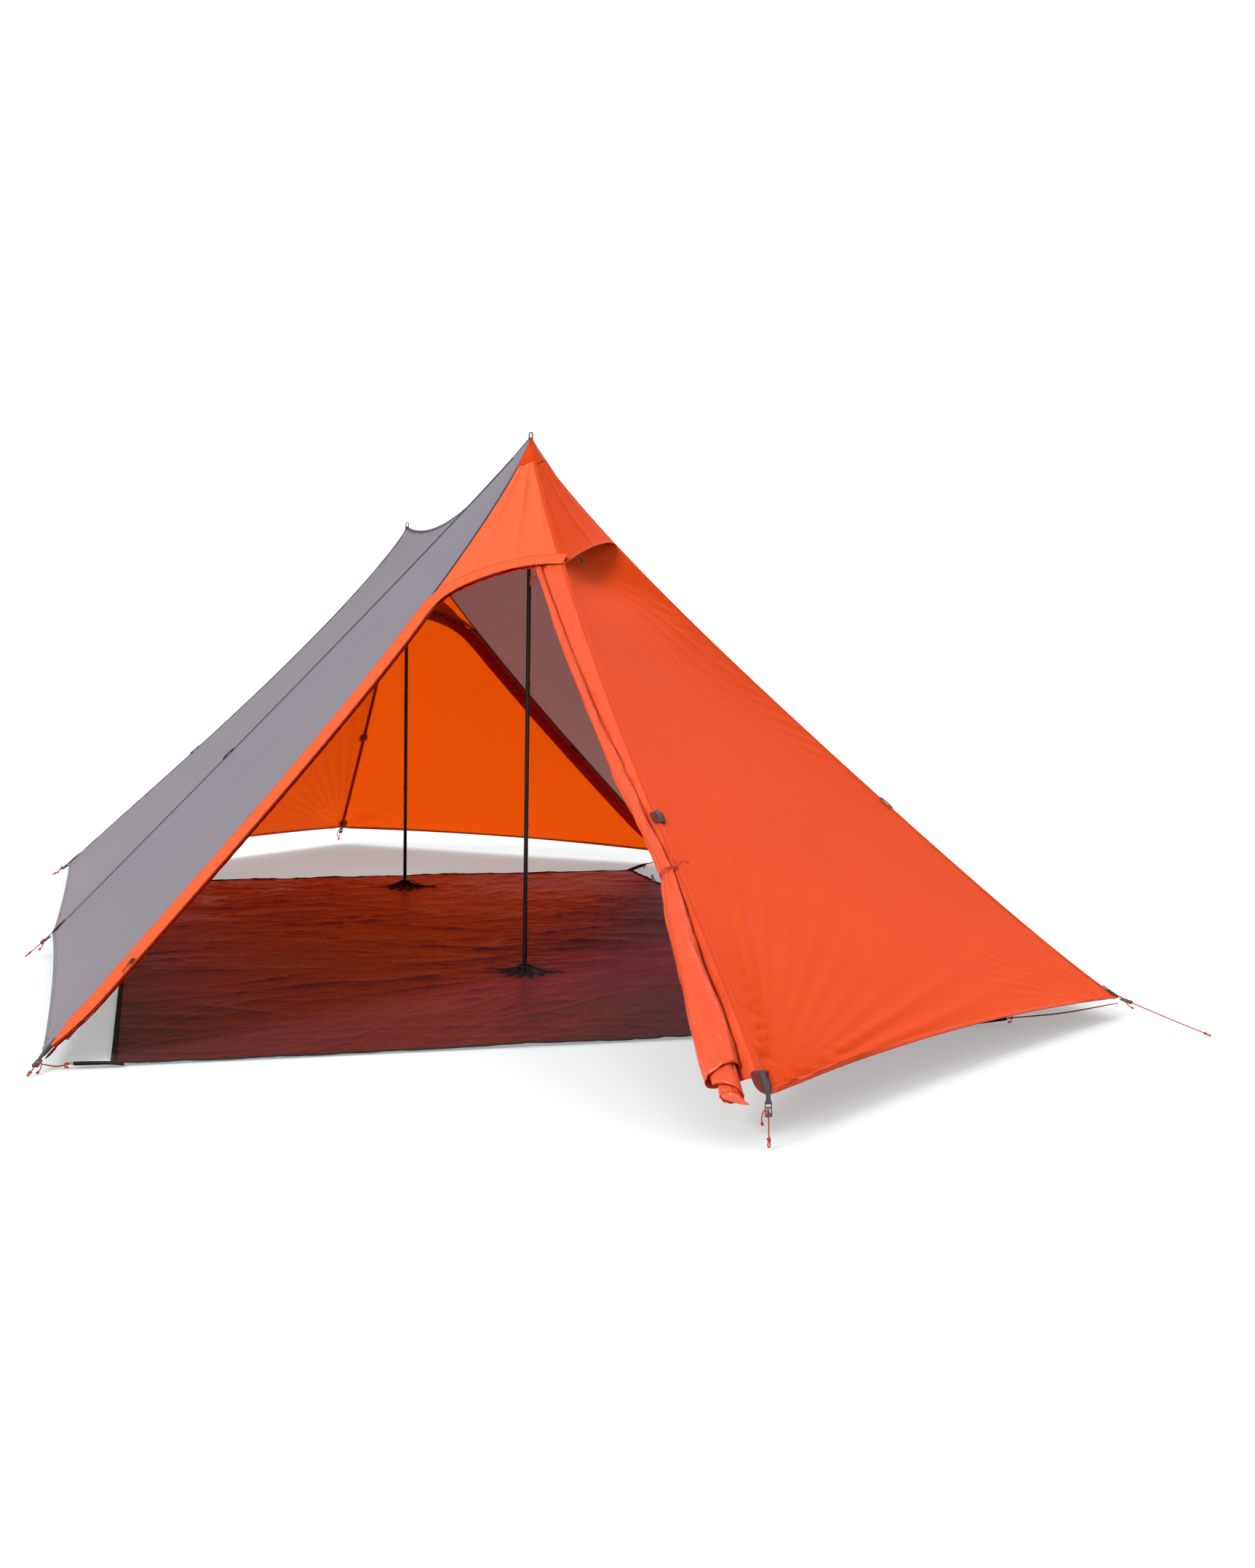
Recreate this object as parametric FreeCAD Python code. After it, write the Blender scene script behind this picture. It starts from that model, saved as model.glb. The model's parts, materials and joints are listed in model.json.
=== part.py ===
import FreeCAD, Part
import math
import os

# Two-pole shelter tent: a tall pole at the head end, a shorter one at the foot end, a
# six-sided canopy that ends in a point at each end, and a loose ground sheet under it.
# Millimetres. The origin is on the ground at the foot of the head pole. +Y runs from the
# head end to the foot end, +X is the right-hand side seen from the head, and +Z is up.

Vec = FreeCAD.Vector
UP = Vec(0, 0, 1)
OUT = "parts"

# ---- Driving dimensions -----------------------------------------------------------------
HEAD_HEIGHT = 1500.0          # peak over the head pole
FOOT_HEIGHT = 1285.0          # peak over the foot pole
POLE_SPACING = 1770.0
FABRIC = 1.5                  # thickness of every fabric solid
SEAM_GAP = 1.5                # clearance between a panel's edge and the seam line
SAG_RISE = 0.6                # exponents of the seams' sag curve, steep at the peak
SAG_FALL = 1.3
DROOP_RISE = 4.0              # exponents of the extra droop that a seam has near its corner
DROOP_FALL = 0.8
RIDGE_RISE = 1.2              # exponents of the ridge's sag, deepest nearer the foot peak
RIDGE_FALL = 0.85
PEAK_TRIM = 0.02              # share of a seam that the peak cap covers
PEAK_CLEAR = 30.0             # how far the ridge panels stay from each peak
HOOD_STANDOFF = 5.0           # how far the hoods stand off the walls under them

# How far each seam sags below a straight line, and its extra droop near the corner.
SEAM_SAGS = {
    "head_left": (90, 0),
    "head_right": (84, 22),
    "head_centre": (100, -16),
    "mid_left": (15, 0),
    "mid_right": (15, 0),
    "foot_left": (62, 0),
    "foot_right": (62, 0),
    "foot_centre": (70, 0),
}

# How tension shapes each panel: hollow draws its middle inwards, hem_rise arches its lower
# edge upwards, and ridge_sag lowers the top edge of the panels under the ridge.
SIDE_FRONT = {"hollow": 22, "hem_rise": 18}
SIDE_REAR = {"hollow": 26, "hem_rise": 14, "ridge_sag": 80}
HEAD_END = {"hollow": 20, "hem_rise": 34}
FOOT_END = {"hollow": 14, "hem_rise": 22}

HEAD_PEAK = Vec(0, 0, HEAD_HEIGHT)
FOOT_PEAK = Vec(0, POLE_SPACING, FOOT_HEIGHT)

# Canopy corners, and where each corner's cord reaches the ground.
GROUND_REST = 2.0             # height of a cord's centre line where its loop lies down
CORNERS = {
    "head_centre": (Vec(0, -1990, 105), Vec(0, -2000, GROUND_REST)),
    "head_left": (Vec(-1350, -950, 25), Vec(-1383, -1030, GROUND_REST)),
    "head_right": (Vec(1350, -950, 55), Vec(1465, -1216, GROUND_REST)),
    "mid_left": (Vec(-1265, 560, 65), Vec(-1342, 549, GROUND_REST)),
    "mid_right": (Vec(1265, 560, 65), Vec(1342, 549, GROUND_REST)),
    "foot_left": (Vec(-1140, 2250, 50), Vec(-1194, 2322, GROUND_REST)),
    "foot_right": (Vec(1140, 2250, 50), Vec(1194, 2322, GROUND_REST)),
    "foot_centre": (Vec(0, 3145, 65), Vec(0, 3230, GROUND_REST)),
}

# Ground sheet: its corners, anticlockwise from the head left.
FLOOR_CORNERS = {
    "head_left": (-1200, -955),
    "head_right": (940, -955),
    "foot_right": (938, 2079),
    "foot_left": (-938, 2079),
}
FLOOR_THICK = 1.5
BINDING_WIDE = 22.0
LAYER_GAP = 0.3                   # gap between layers that lie on each other
STRAP_LONGEST = 90.0              # the webbing at its corners, up to the ring
BOOT_RADIUS = 80.0
BOOT_TOP = 12.0
BOOT_TALL = 26.0

# Poles: a lower outer tube that slides over an inner tube, held by a lever clamp.
TUBE_R = 6.0
TUBE_WALL = 0.9
SLIDE_CLEAR = 0.05
INNER_R = TUBE_R - TUBE_WALL - SLIDE_CLEAR
INNER_WALL = 0.8
OVERLAP = 260.0               # length of inner tube inside the lower tube at rest
FERRULE_R = 8.0
CUP_DEPTH = 62.0              # underside of the peak cup, below the peak
CLAMP_AT = {"head": 1172.0, "foot": 985.0}
CLAMP_R = 10.0
CLAMP_TALL = 26.0
LEVER_LONG = 34.0
LEVER_PIVOT = CLAMP_R + 5     # from the pole's axis to the lever's pin
PIN_R = 1.5

# Cords, webbing and line locks.
CORD_R = 1.25
WEB_WIDE = 10.0
WEB_THICK = 1.5
LOCK_PIVOT = 14.0             # from a canopy corner to the bar its webbing holds
LOCK_LONG = 28.0
LOCK_WIDE = 14.4
BAR_R = 1.55
EYE_R = 3.0
LOOP_R = 7.0
KNOT_R = 3.0

# Each end's seam beside its door, and its seam beyond the vent.
DOOR_SEAM = {"head": "head_left", "foot": "foot_right"}
VENT_SEAM = {"head": "head_right", "foot": "foot_left"}

# Doors and hoods, as shares of the seams' lengths from the peak down.
HOOD_AT_CORNER = 0.262        # where the hood meets the seam beside the door
HOOD_AT_CENTRE = 0.186
HOOD_AT_WALL = 0.152          # where it meets the seam beyond the vent
HOOD_UNDER = 0.1              # where the wall panels start, under the hoods
HOOD_ARCH = 46.0              # rise of the doorway's arch
VENT_LIFT = 14.0              # how far the vent flap's edge bows out
STRIP_WIDE = 34.0             # fabric left beside the open door
ROLL_START = 0.215            # the rolled door's ends along the centre seam
ROLL_END = 0.94
ROLL_TIE = 0.70
ROLL_SIDES = 20
# The roll's radius and its distance from the centre seam, at shares of its length: narrow at
# the top with a wide flange beside it, tight at the tie, wide below.
ROLL_SHAPE = {0.0: (9, 58), 0.25: (13, 42), 0.45: (17, 26), 0.6: (20, 12), 0.66: (20, 10),
              0.8: (32, 22), 1.0: (38, 28)}
TIE_R = 24.2                  # radius of the tie cord's loop around the roll
PATCH_LOW = 0.972             # the sewn patches' places along each seam
PATCH_MID = 0.62
ZIP_START = 0.34              # the zip tracks' ends and the sliders' place
ZIP_END = 0.93
SLIDER_AT = 0.86
ZIP_WIDE = 3.2
STRUT_SHARE = 0.27            # the vent strut's place along the hood's edge


def unit(v):
    """Return v at length 1."""
    return v * (1.0 / v.Length)


def hump(t, rise, fall):
    """Return a curve of t that is 0 at both ends and 1 at its highest."""
    t = min(max(t, 0.0), 1.0)
    highest = rise / (rise + fall)
    return t ** rise * (1 - t) ** fall / (highest ** rise * (1 - highest) ** fall)


def seam(name):
    """Return a function from 0..1 to points on a seam, from its peak to its corner."""
    top = FOOT_PEAK if name.startswith("foot") else HEAD_PEAK
    bottom = CORNERS[name][0]
    depth, droop = SEAM_SAGS[name]

    def at(t):
        drop = depth * hump(t, SAG_RISE, SAG_FALL) + droop * hump(t, DROOP_RISE, DROOP_FALL)
        return top + (bottom - top) * t - UP * drop
    return at


def stretch(curve, start, end):
    """Return the part of a curve from start to end, as a curve of its own."""
    def at(t):
        return curve(start + (end - start) * t)
    return at


SEAMS = {name: seam(name) for name in CORNERS}


def outward_of(curve_a, curve_b):
    """Return the mean outward normal of the panel between two seams."""
    near = (curve_a(0.1) + curve_b(0.1)) * 0.5
    normal = unit((curve_a(1) - near).cross(curve_b(1) - near))
    centre = Vec(0, POLE_SPACING / 2, HEAD_HEIGHT / 3)
    if normal.dot(near - centre) < 0:
        normal = normal * -1
    return normal


def sheet(curve_a, curve_b, hollow=0.0, hem_rise=0.0, ridge_sag=0.0, start=PEAK_TRIM,
          lift=0.0, standoff=0.0, end_gap=SEAM_GAP):
    """Return a closed fabric panel stretched between two curves.

    start is where it begins along the curves, lift pushes its lower edge outwards, standoff
    moves all of it outwards, and end_gap is its clearance from the curves at their tops.
    """
    rows, columns = 8, 8
    outward = outward_of(curve_a, curve_b)
    slope = unit((curve_a(0) + curve_b(0)) * 0.5 - (curve_a(1) + curve_b(1)) * 0.5)
    grid = []
    for i in range(rows + 1):
        t = start + (1 - start) * (i / rows) ** 1.4
        a, b = curve_a(t), curve_b(t)
        chord = b - a
        inset = max(SEAM_GAP, end_gap * (1 - 12 * t)) / chord.Length
        line = []
        for j in range(columns + 1):
            s = inset + (1 - 2 * inset) * j / columns
            bow = 4 * s * (1 - s)
            point = a + chord * s
            point = point + slope * (hem_rise * bow * t ** 4)
            point = point - UP * (ridge_sag * hump(s, RIDGE_RISE, RIDGE_FALL) * (1 - t) ** 3)
            reach = standoff + lift * bow * t ** 2 - hollow * bow * math.sin(math.pi * t)
            line.append(point + outward * reach)
        grid.append(line)
    surface = Part.BSplineSurface()
    surface.interpolate(grid)
    return surface.toShape().extrude(outward * FABRIC)


def place(shape, origin, x, y, z):
    """Return a shape moved from its own axes to an origin and three directions."""
    moved = shape.copy()
    moved.Placement = FreeCAD.Placement(origin, FreeCAD.Rotation(x, y, z, "XYZ"))
    return moved


def block(x, y, z):
    """Return a box given by its lowest and highest x, y and z."""
    return Part.makeBox(x[1] - x[0], y[1] - y[0], z[1] - z[0], Vec(x[0], y[0], z[0]))


def tube(outer, inner, low, high, x=0.0, y=0.0):
    """Return an upright tube."""
    foot = Vec(x, y, low)
    wall = Part.makeCylinder(outer, high - low, foot)
    return wall.cut(Part.makeCylinder(inner, high - low, foot))


def cord(points, radius=CORD_R):
    """Return a round cord with a ball at each bend."""
    shape = None
    for a, b in zip(points, points[1:]):
        piece = Part.makeCylinder(radius, (b - a).Length, a, b - a)
        shape = piece if shape is None else shape.fuse(piece)
    for bend in points[1:-1]:
        shape = shape.fuse(Part.makeSphere(radius, bend))
    return shape.removeSplitter()


def save(name, *solids):
    """Write one node from its solids."""
    shape = solids[0] if len(solids) == 1 else Part.makeCompound(list(solids))
    shape.exportStep(os.path.join(OUT, name + ".step"))


# ---- Canopy -----------------------------------------------------------------------------
def make_sides():
    """Make the grey side panels: a triangle and a four-sided panel on each side."""
    for side in ("left", "right"):
        head, mid, foot = (SEAMS[end + "_" + side] for end in ("head", "mid", "foot"))
        save("side_front_" + side, sheet(head, mid, **SIDE_FRONT))
        rear = sheet(mid, foot, start=0.003, end_gap=PEAK_CLEAR, **SIDE_REAR)
        save("side_rear_" + side, rear)


def inner_edge(end, wide):
    """Return the curve beside an end's door that stays a fixed distance from its seam."""
    corner, centre = SEAMS[DOOR_SEAM[end]], SEAMS[end + "_centre"]

    def at(t):
        return corner(t) + unit(centre(t) - corner(t)) * wide
    return at


def hood(end):
    """Return the solids of one end's hood: door arch, strip beside the door, vent flap."""
    corner, centre, wall = (SEAMS[name] for name in (DOOR_SEAM[end], end + "_centre", VENT_SEAM[end]))
    arch = sheet(stretch(corner, 0, HOOD_AT_CORNER), stretch(centre, 0, HOOD_AT_CENTRE),
                 hem_rise=HOOD_ARCH, standoff=HOOD_STANDOFF, start=HOOD_UNDER)
    flap = sheet(stretch(centre, 0, HOOD_AT_CENTRE), stretch(wall, 0, HOOD_AT_WALL),
                 hem_rise=12, lift=VENT_LIFT, standoff=HOOD_STANDOFF, start=HOOD_UNDER)
    below = HOOD_AT_CORNER + 0.012
    strip = sheet(stretch(corner, below, 1), stretch(inner_edge(end, STRIP_WIDE), below, 0.985),
                  start=0.0)
    return [arch, flap, strip]


def make_ends():
    """Make the orange end panels, the hoods and the closed foot door."""
    for end, shape in (("head", HEAD_END), ("foot", FOOT_END)):
        centre, wall = SEAMS[end + "_centre"], SEAMS[VENT_SEAM[end]]
        panel = sheet(stretch(centre, HOOD_UNDER, 1), stretch(wall, HOOD_UNDER, 1), start=0, **shape)
        save(end + "_wall_panel", panel)
        save(end + "_hood", *hood(end))

    door_edge = inner_edge("foot", STRIP_WIDE + 4)
    door = sheet(stretch(SEAMS["foot_centre"], HOOD_AT_CENTRE, 1),
                 stretch(door_edge, HOOD_AT_CORNER, 1), start=0, **FOOT_END)
    save("foot_door_panel", door)


def peaks():
    """Return the two peaks."""
    return (HEAD_PEAK, FOOT_PEAK)


def make_peaks():
    """Make the caps over the peaks, the cups that take the pole tips, and the loops."""
    caps, cups, loops = [], [], []
    for peak in peaks():
        outer = Part.makeCone(20, 6, 27, peak - UP * 28)
        inner = Part.makeCone(18, 4, 27, peak - UP * 29.5)
        caps.append(outer.cut(inner))
        cup = Part.makeCylinder(11, 24, peak - UP * CUP_DEPTH)
        hollow = Part.makeCylinder(FERRULE_R - 0.4, 18, peak - UP * CUP_DEPTH)
        cups.append(cup.cut(hollow))
        post = block((-WEB_WIDE / 2, WEB_WIDE / 2), (-4, 4), (0, 13))
        gap = block((-WEB_WIDE, WEB_WIDE), (-2.4, 2.4), (-1, 11.4))
        loop = post.cut(gap)
        loop.translate(peak + UP * 0.5)
        loops.append(loop)
    save("peak_caps", *caps)
    save("peak_cups", *cups)
    save("peak_loops", *loops)


def seam_frame(name, t):
    """Return a point on a seam with its downhill, sideways and outward directions."""
    curve = SEAMS[name]
    along = unit(curve(min(t + 0.01, 1)) - curve(t - 0.01))
    across = unit(UP.cross(along))
    return curve(t), along, across, along.cross(across)


def tag(name, t, size, standoff, shift=0.0):
    """Return a flat strip of a length, width and thickness that lies along a seam."""
    length, width, thick = size
    point, along, across, outward = seam_frame(name, t)
    y = (shift - width / 2, shift + width / 2)
    strip = block((-length / 2, length / 2), y, (0, thick))
    return place(strip, point + outward * standoff, along, across, outward)


def make_reinforcements():
    """Make the sewn patches at corners and half-way up, and the pull-out loops."""
    patches, loops = [], []
    for name in CORNERS:
        patches.append(tag(name, PATCH_LOW, (64, 26, 1.2), 8, 6))
        patches.append(tag(name, PATCH_MID, (56, 22, 1.2), 8, 9))
        loops.append(tag(name, PATCH_MID, (34, WEB_WIDE, WEB_THICK), 10.5, 6))
    save("corner_patches", *patches)
    save("pull_out_loops", *loops)


# ---- Door hardware ----------------------------------------------------------------------
def roll_line():
    """Return the rolled door's start, its direction down the seam and its sideways direction."""
    start, end = SEAMS["head_centre"](ROLL_START), SEAMS["head_centre"](ROLL_END)
    along = unit(end - start)
    outward = outward_of(SEAMS["head_left"], SEAMS["head_centre"])
    return start, along, unit(along.cross(outward))


def beside_seam(t, radius, gap):
    """Return the middle of a round section that lies beside the centre seam at t."""
    aside = roll_line()[2]
    return SEAMS["head_centre"](t) + aside * (radius + gap)


def ring(middle, axis, radius, sides):
    """Return a closed outline with even sides around an axis."""
    first = unit(axis.cross(UP))
    second = axis.cross(first)
    points = []
    for i in range(sides + 1):
        angle = 2 * math.pi * (i % sides) / sides
        points.append(middle + first * (radius * math.cos(angle)) + second * (radius * math.sin(angle)))
    return Part.makePolygon(points)


def make_door_roll():
    """Make the rolled door, its tie cord and toggle."""
    start, along, aside = roll_line()
    rings = []
    for share, (radius, gap) in ROLL_SHAPE.items():
        t = ROLL_START + (ROLL_END - ROLL_START) * share
        rings.append(ring(beside_seam(t, radius, gap), along, radius, ROLL_SIDES))
    save("head_door_roll", Part.makeLoft(rings, True, True))

    tie_at = beside_seam(ROLL_TIE, TIE_R, 7)
    save("door_tie_cord", Part.makeTorus(TIE_R, CORD_R, tie_at, along))
    toggle_at = tie_at + aside * (TIE_R + 6.3)
    save("door_toggle", Part.makeCylinder(3, 18, toggle_at - along * 9, along))


def strip_frame(end, t):
    """Return a point on a door strip's edge with its along, across and outward axes."""
    edge = inner_edge(end, STRIP_WIDE - 5)
    along = unit(edge(t - 0.05) - edge(t + 0.05))
    outward = outward_of(SEAMS[DOOR_SEAM[end]], SEAMS[end + "_centre"])
    across = unit(outward.cross(along))
    return edge(t), along, across, unit(along.cross(across))


def make_zips():
    """Make the zip tracks on the door strips, and the sliders that run along them."""
    tracks = []
    pieces = 12
    for end in ("head", "foot"):
        outward = strip_frame(end, SLIDER_AT)[3]
        points = []
        for i in range(pieces + 1):
            t = ZIP_START + (ZIP_END - ZIP_START) * i / pieces
            points.append(strip_frame(end, t)[0] + outward * 5.5)
        heading = unit(points[-1] - points[0])
        sections = [ring(point, heading, ZIP_WIDE / 2, 4) for point in points]
        tracks.append(Part.makeLoft(sections, True, True))

        edge, along, across, outward = strip_frame(end, SLIDER_AT)
        body = block((-8, 8), (-5, 5), (0, 4.5))
        pull = block((-26, -8), (-2.5, 2.5), (1, 3))
        slider = body.fuse(pull).removeSplitter()
        save(end + "_zip_slider", place(slider, edge + outward * 9.5, along, across, outward))
    save("zip_tracks", *tracks)


def strut_frame(end):
    """Return a vent strut's hinge point, downward direction, hinge axis and length."""
    centre, wall = SEAMS[end + "_centre"], SEAMS[VENT_SEAM[end]]
    outward = outward_of(stretch(centre, 0, HOOD_AT_CENTRE), stretch(wall, 0, HOOD_AT_WALL))
    a, b = centre(HOOD_AT_CENTRE), wall(HOOD_AT_WALL)
    bow = 4 * STRUT_SHARE * (1 - STRUT_SHARE)
    foot = a + (b - a) * STRUT_SHARE + outward * 6
    down = unit((a + b) * 0.5 - centre(0))
    top = foot + outward * (VENT_LIFT * bow - 10) - down * 8
    low = foot + down * 26
    return top, unit(low - top), unit(b - a), (low - top).Length


def make_struts():
    """Make the stiff strut that props each vent flap open."""
    for end in ("head", "foot"):
        top, down, axis, length = strut_frame(end)
        strut = block((0, length), (-4, 4), (-0.9, 0.9))
        flat = unit(axis - down * axis.dot(down))
        save(end + "_vent_strut", place(strut, top, down, flat, down.cross(flat)))


def make_hood_cords():
    """Make the short cords that hang from the door arches."""
    tails = []
    for end, inward in (("head", 1), ("foot", -1)):
        centre = SEAMS[end + "_centre"](HOOD_AT_CENTRE)
        corner = SEAMS[DOOR_SEAM[end]](HOOD_AT_CORNER)
        for share in (0.24, 0.30):
            top = centre + (corner - centre) * share + Vec(0, 14 * inward, 22)
            tails.append(cord([top, top - UP * 26, top - UP * 50 + Vec(4 * share, 0, 0)]))
    save("hood_tie_cords", *tails)


# ---- Poles ------------------------------------------------------------------------------
def make_pole(end, y, height):
    """Make one telescoping pole and its lever clamp."""
    clamp = CLAMP_AT[end]
    cup = height - CUP_DEPTH
    save(end + "_pole_lower", tube(TUBE_R, TUBE_R - TUBE_WALL, 14, clamp, y=y))
    save(end + "_pole_upper", tube(INNER_R, INNER_R - INNER_WALL, clamp - OVERLAP, cup - 4, y=y))

    shoe = Part.makeCylinder(FERRULE_R, 20, Vec(0, y, 2.4))
    shoe = shoe.cut(Part.makeCylinder(TUBE_R + SLIDE_CLEAR, 20, Vec(0, y, 12.4)))
    save(end + "_pole_shoe", shoe)

    body = tube(CLAMP_R, INNER_R + SLIDE_CLEAR, clamp + 0.4, clamp + CLAMP_TALL / 2, y=y)
    skirt = tube(CLAMP_R, TUBE_R + SLIDE_CLEAR, clamp - CLAMP_TALL / 2, clamp + 0.4, y=y)
    lugs = block((CLAMP_R - 3, CLAMP_R + 9), (-6, 6), (-5, 5))
    lugs = lugs.cut(block((CLAMP_R - 0.5, CLAMP_R + 12), (-3.6, 3.6), (-8, 8)))
    lugs.translate(Vec(0, y, clamp))
    bore = Part.makeCylinder(PIN_R + SLIDE_CLEAR, 20, Vec(LEVER_PIVOT, y - 10, clamp), Vec(0, 1, 0))
    keep_clear = Part.makeCylinder(TUBE_R + SLIDE_CLEAR, 30, Vec(0, y, clamp - 15))
    clamp_body = body.fuse(skirt).fuse(lugs.cut(keep_clear)).cut(bore).removeSplitter()
    save(end + "_pole_clamp", clamp_body)

    pin = Part.makeCylinder(PIN_R, 12, Vec(LEVER_PIVOT, y - 6, clamp), Vec(0, 1, 0))
    save(end + "_clamp_pin", pin)
    hub = Part.makeCylinder(3.4, 6.4, Vec(LEVER_PIVOT, y - 3.2, clamp), Vec(0, 1, 0))
    arm = block((CLAMP_R + 4, CLAMP_R + 7.5), (-3.2, 3.2), (-LEVER_LONG, 0))
    arm.translate(Vec(0, y, clamp))
    save(end + "_clamp_lever", hub.fuse(arm).cut(bore).removeSplitter())


def make_poles():
    """Make both poles and the ferrules at their tops."""
    make_pole("head", 0.0, HEAD_HEIGHT)
    make_pole("foot", POLE_SPACING, FOOT_HEIGHT)
    tips = []
    for peak in peaks():
        base = peak - UP * (CUP_DEPTH + 10)
        tip = Part.makeCylinder(FERRULE_R - 1, 22, base)
        hollow = Part.makeCylinder(INNER_R + SLIDE_CLEAR, 6.2, base)
        tips.append(tip.cut(hollow))
    save("pole_tips", *tips)


# ---- Ground sheet -----------------------------------------------------------------------
def floor_corners(inset=0.0):
    """Return the ground sheet's corners, each moved inwards by inset."""
    corners = []
    for x, y in FLOOR_CORNERS.values():
        corners.append(Vec(x - math.copysign(inset, x), y - math.copysign(inset, y), 0))
    return corners


def slab(corners, low, high):
    """Return an upright prism over an outline of corners."""
    loop = [Vec(p.x, p.y, low) for p in corners]
    return Part.Face(Part.makePolygon(loop + loop[:1])).extrude(UP * (high - low))


def make_floor():
    """Make the ground sheet, its binding, and the fabric boots around the pole feet."""
    save("ground_sheet", slab(floor_corners(), 0, FLOOR_THICK))
    low = FLOOR_THICK + LAYER_GAP
    ring = slab(floor_corners(1), low, low + 1).cut(slab(floor_corners(BINDING_WIDE), low, low + 1))
    save("ground_sheet_binding", ring)
    boots, cords = [], []
    for peak in peaks():
        base = Vec(peak.x, peak.y, low)
        outer = Part.makeCone(BOOT_RADIUS, BOOT_TOP, BOOT_TALL, base)
        inner = Part.makeCone(BOOT_RADIUS - 3, BOOT_TOP - 2, BOOT_TALL, base - UP * 0.5)
        bore = Part.makeCylinder(BOOT_TOP - 2, BOOT_TALL + 5, base)
        boots.append(outer.cut(inner).cut(bore))
        draw = Part.makeTorus(BOOT_TOP + 3.4, CORD_R, base + UP * (BOOT_TALL + 0.2))
        tail = cord([base + Vec(BOOT_TOP + 4, 0, BOOT_TALL), base + Vec(BOOT_TOP + 40, -8, 20)])
        cords.append(draw.fuse(tail).removeSplitter())
    save("pole_boots", *boots)
    save("boot_drawcords", *cords)


def make_floor_ties():
    """Make the webbing, rings and cords that join the ground sheet to the canopy."""
    straps, rings, ties = [], [], []
    for corner, name in zip(floor_corners(), FLOOR_CORNERS):
        start = corner + UP * 7.5
        end = CORNERS[name][0] - UP * 14
        reach = unit(end - start)
        length = (end - start).Length
        across = unit(UP.cross(reach))
        normal = reach.cross(across)
        strap_long = min(0.55 * length, STRAP_LONGEST)
        ring_at = start + reach * strap_long
        strap = block((-12, strap_long - 7.4), (-6, 6), (-0.6, 0.6))
        straps.append(place(strap, start, reach, across, normal))
        rings.append(Part.makeTorus(6, 1, ring_at, normal))
        ties.append(cord([ring_at + reach * 9, end - reach * 3]))
    save("floor_webbing", *straps)
    save("floor_rings", *rings)
    save("floor_cords", *ties)


# ---- Line locks and cords ---------------------------------------------------------------
def anchor_frame(name):
    """Return a corner cord's pivot, its direction, its hinge axis and its length."""
    corner, end = CORNERS[name]
    reach = unit(end - corner)
    away = unit(Vec(end.x - corner.x, end.y - corner.y, 0))
    axis = away.cross(UP)
    return corner + reach * LOCK_PIVOT, reach, axis, (end - corner).Length - LOCK_PIVOT


def make_anchors():
    """Make the webbing eye, line lock and looped cord at each canopy corner."""
    eyes = []
    half = WEB_WIDE / 2
    for name in CORNERS:
        pivot, reach, axis, length = anchor_frame(name)
        axes = (reach, axis * -1, axis.cross(reach))
        strap = block((3.5 - LOCK_PIVOT, -2), (-half, half), (-WEB_THICK / 2, WEB_THICK / 2))
        eye = strap.fuse(Part.makeCylinder(EYE_R, WEB_WIDE, Vec(0, -half, 0), Vec(0, 1, 0)))
        eye = eye.cut(Part.makeCylinder(BAR_R + 0.05, 40, Vec(0, -20, 0), Vec(0, 1, 0)))
        eyes.append(place(eye.removeSplitter(), pivot, *axes))

        wide = LOCK_WIDE / 2
        lock = Part.makeCylinder(BAR_R, LOCK_WIDE, Vec(0, -wide, 0), Vec(0, 1, 0))
        for side in (-1, 1):
            y = sorted((side * wide, side * (wide - 1.6)))
            lock = lock.fuse(block((-2.5, LOCK_LONG), y, (-2, 2)))
        bridge = block((LOCK_LONG - 9, LOCK_LONG), (-wide, wide), (-2, 4))
        bore = Part.makeCylinder(CORD_R + 0.08, 20, Vec(LOCK_LONG - 15, 0, 1), Vec(1, 0, 0))
        lock = lock.fuse(bridge).cut(bore).removeSplitter()
        save("line_lock_" + name, place(lock, pivot, *axes))

        loop_at = Vec(length - LOOP_R - CORD_R, 0, 1)
        line = Part.makeCylinder(CORD_R, loop_at.x - LOOP_R - 14, Vec(14, 0, 1), Vec(1, 0, 0))
        line = line.fuse(Part.makeSphere(KNOT_R, Vec(loop_at.x - LOOP_R - 1, 0, 1)))
        line = line.fuse(Part.makeTorus(LOOP_R, CORD_R, loop_at, UP))
        save("guy_cord_" + name, place(line.removeSplitter(), pivot, *axes))
    save("corner_webbing", *eyes)


os.makedirs(OUT, exist_ok=True)
make_sides()
make_ends()
make_peaks()
make_reinforcements()
make_door_roll()
make_zips()
make_struts()
make_hood_cords()
make_poles()
make_floor()
make_floor_ties()
make_anchors()
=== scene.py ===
import json
import math

import bpy
import numpy as np
from mathutils import Matrix, Vector


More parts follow.
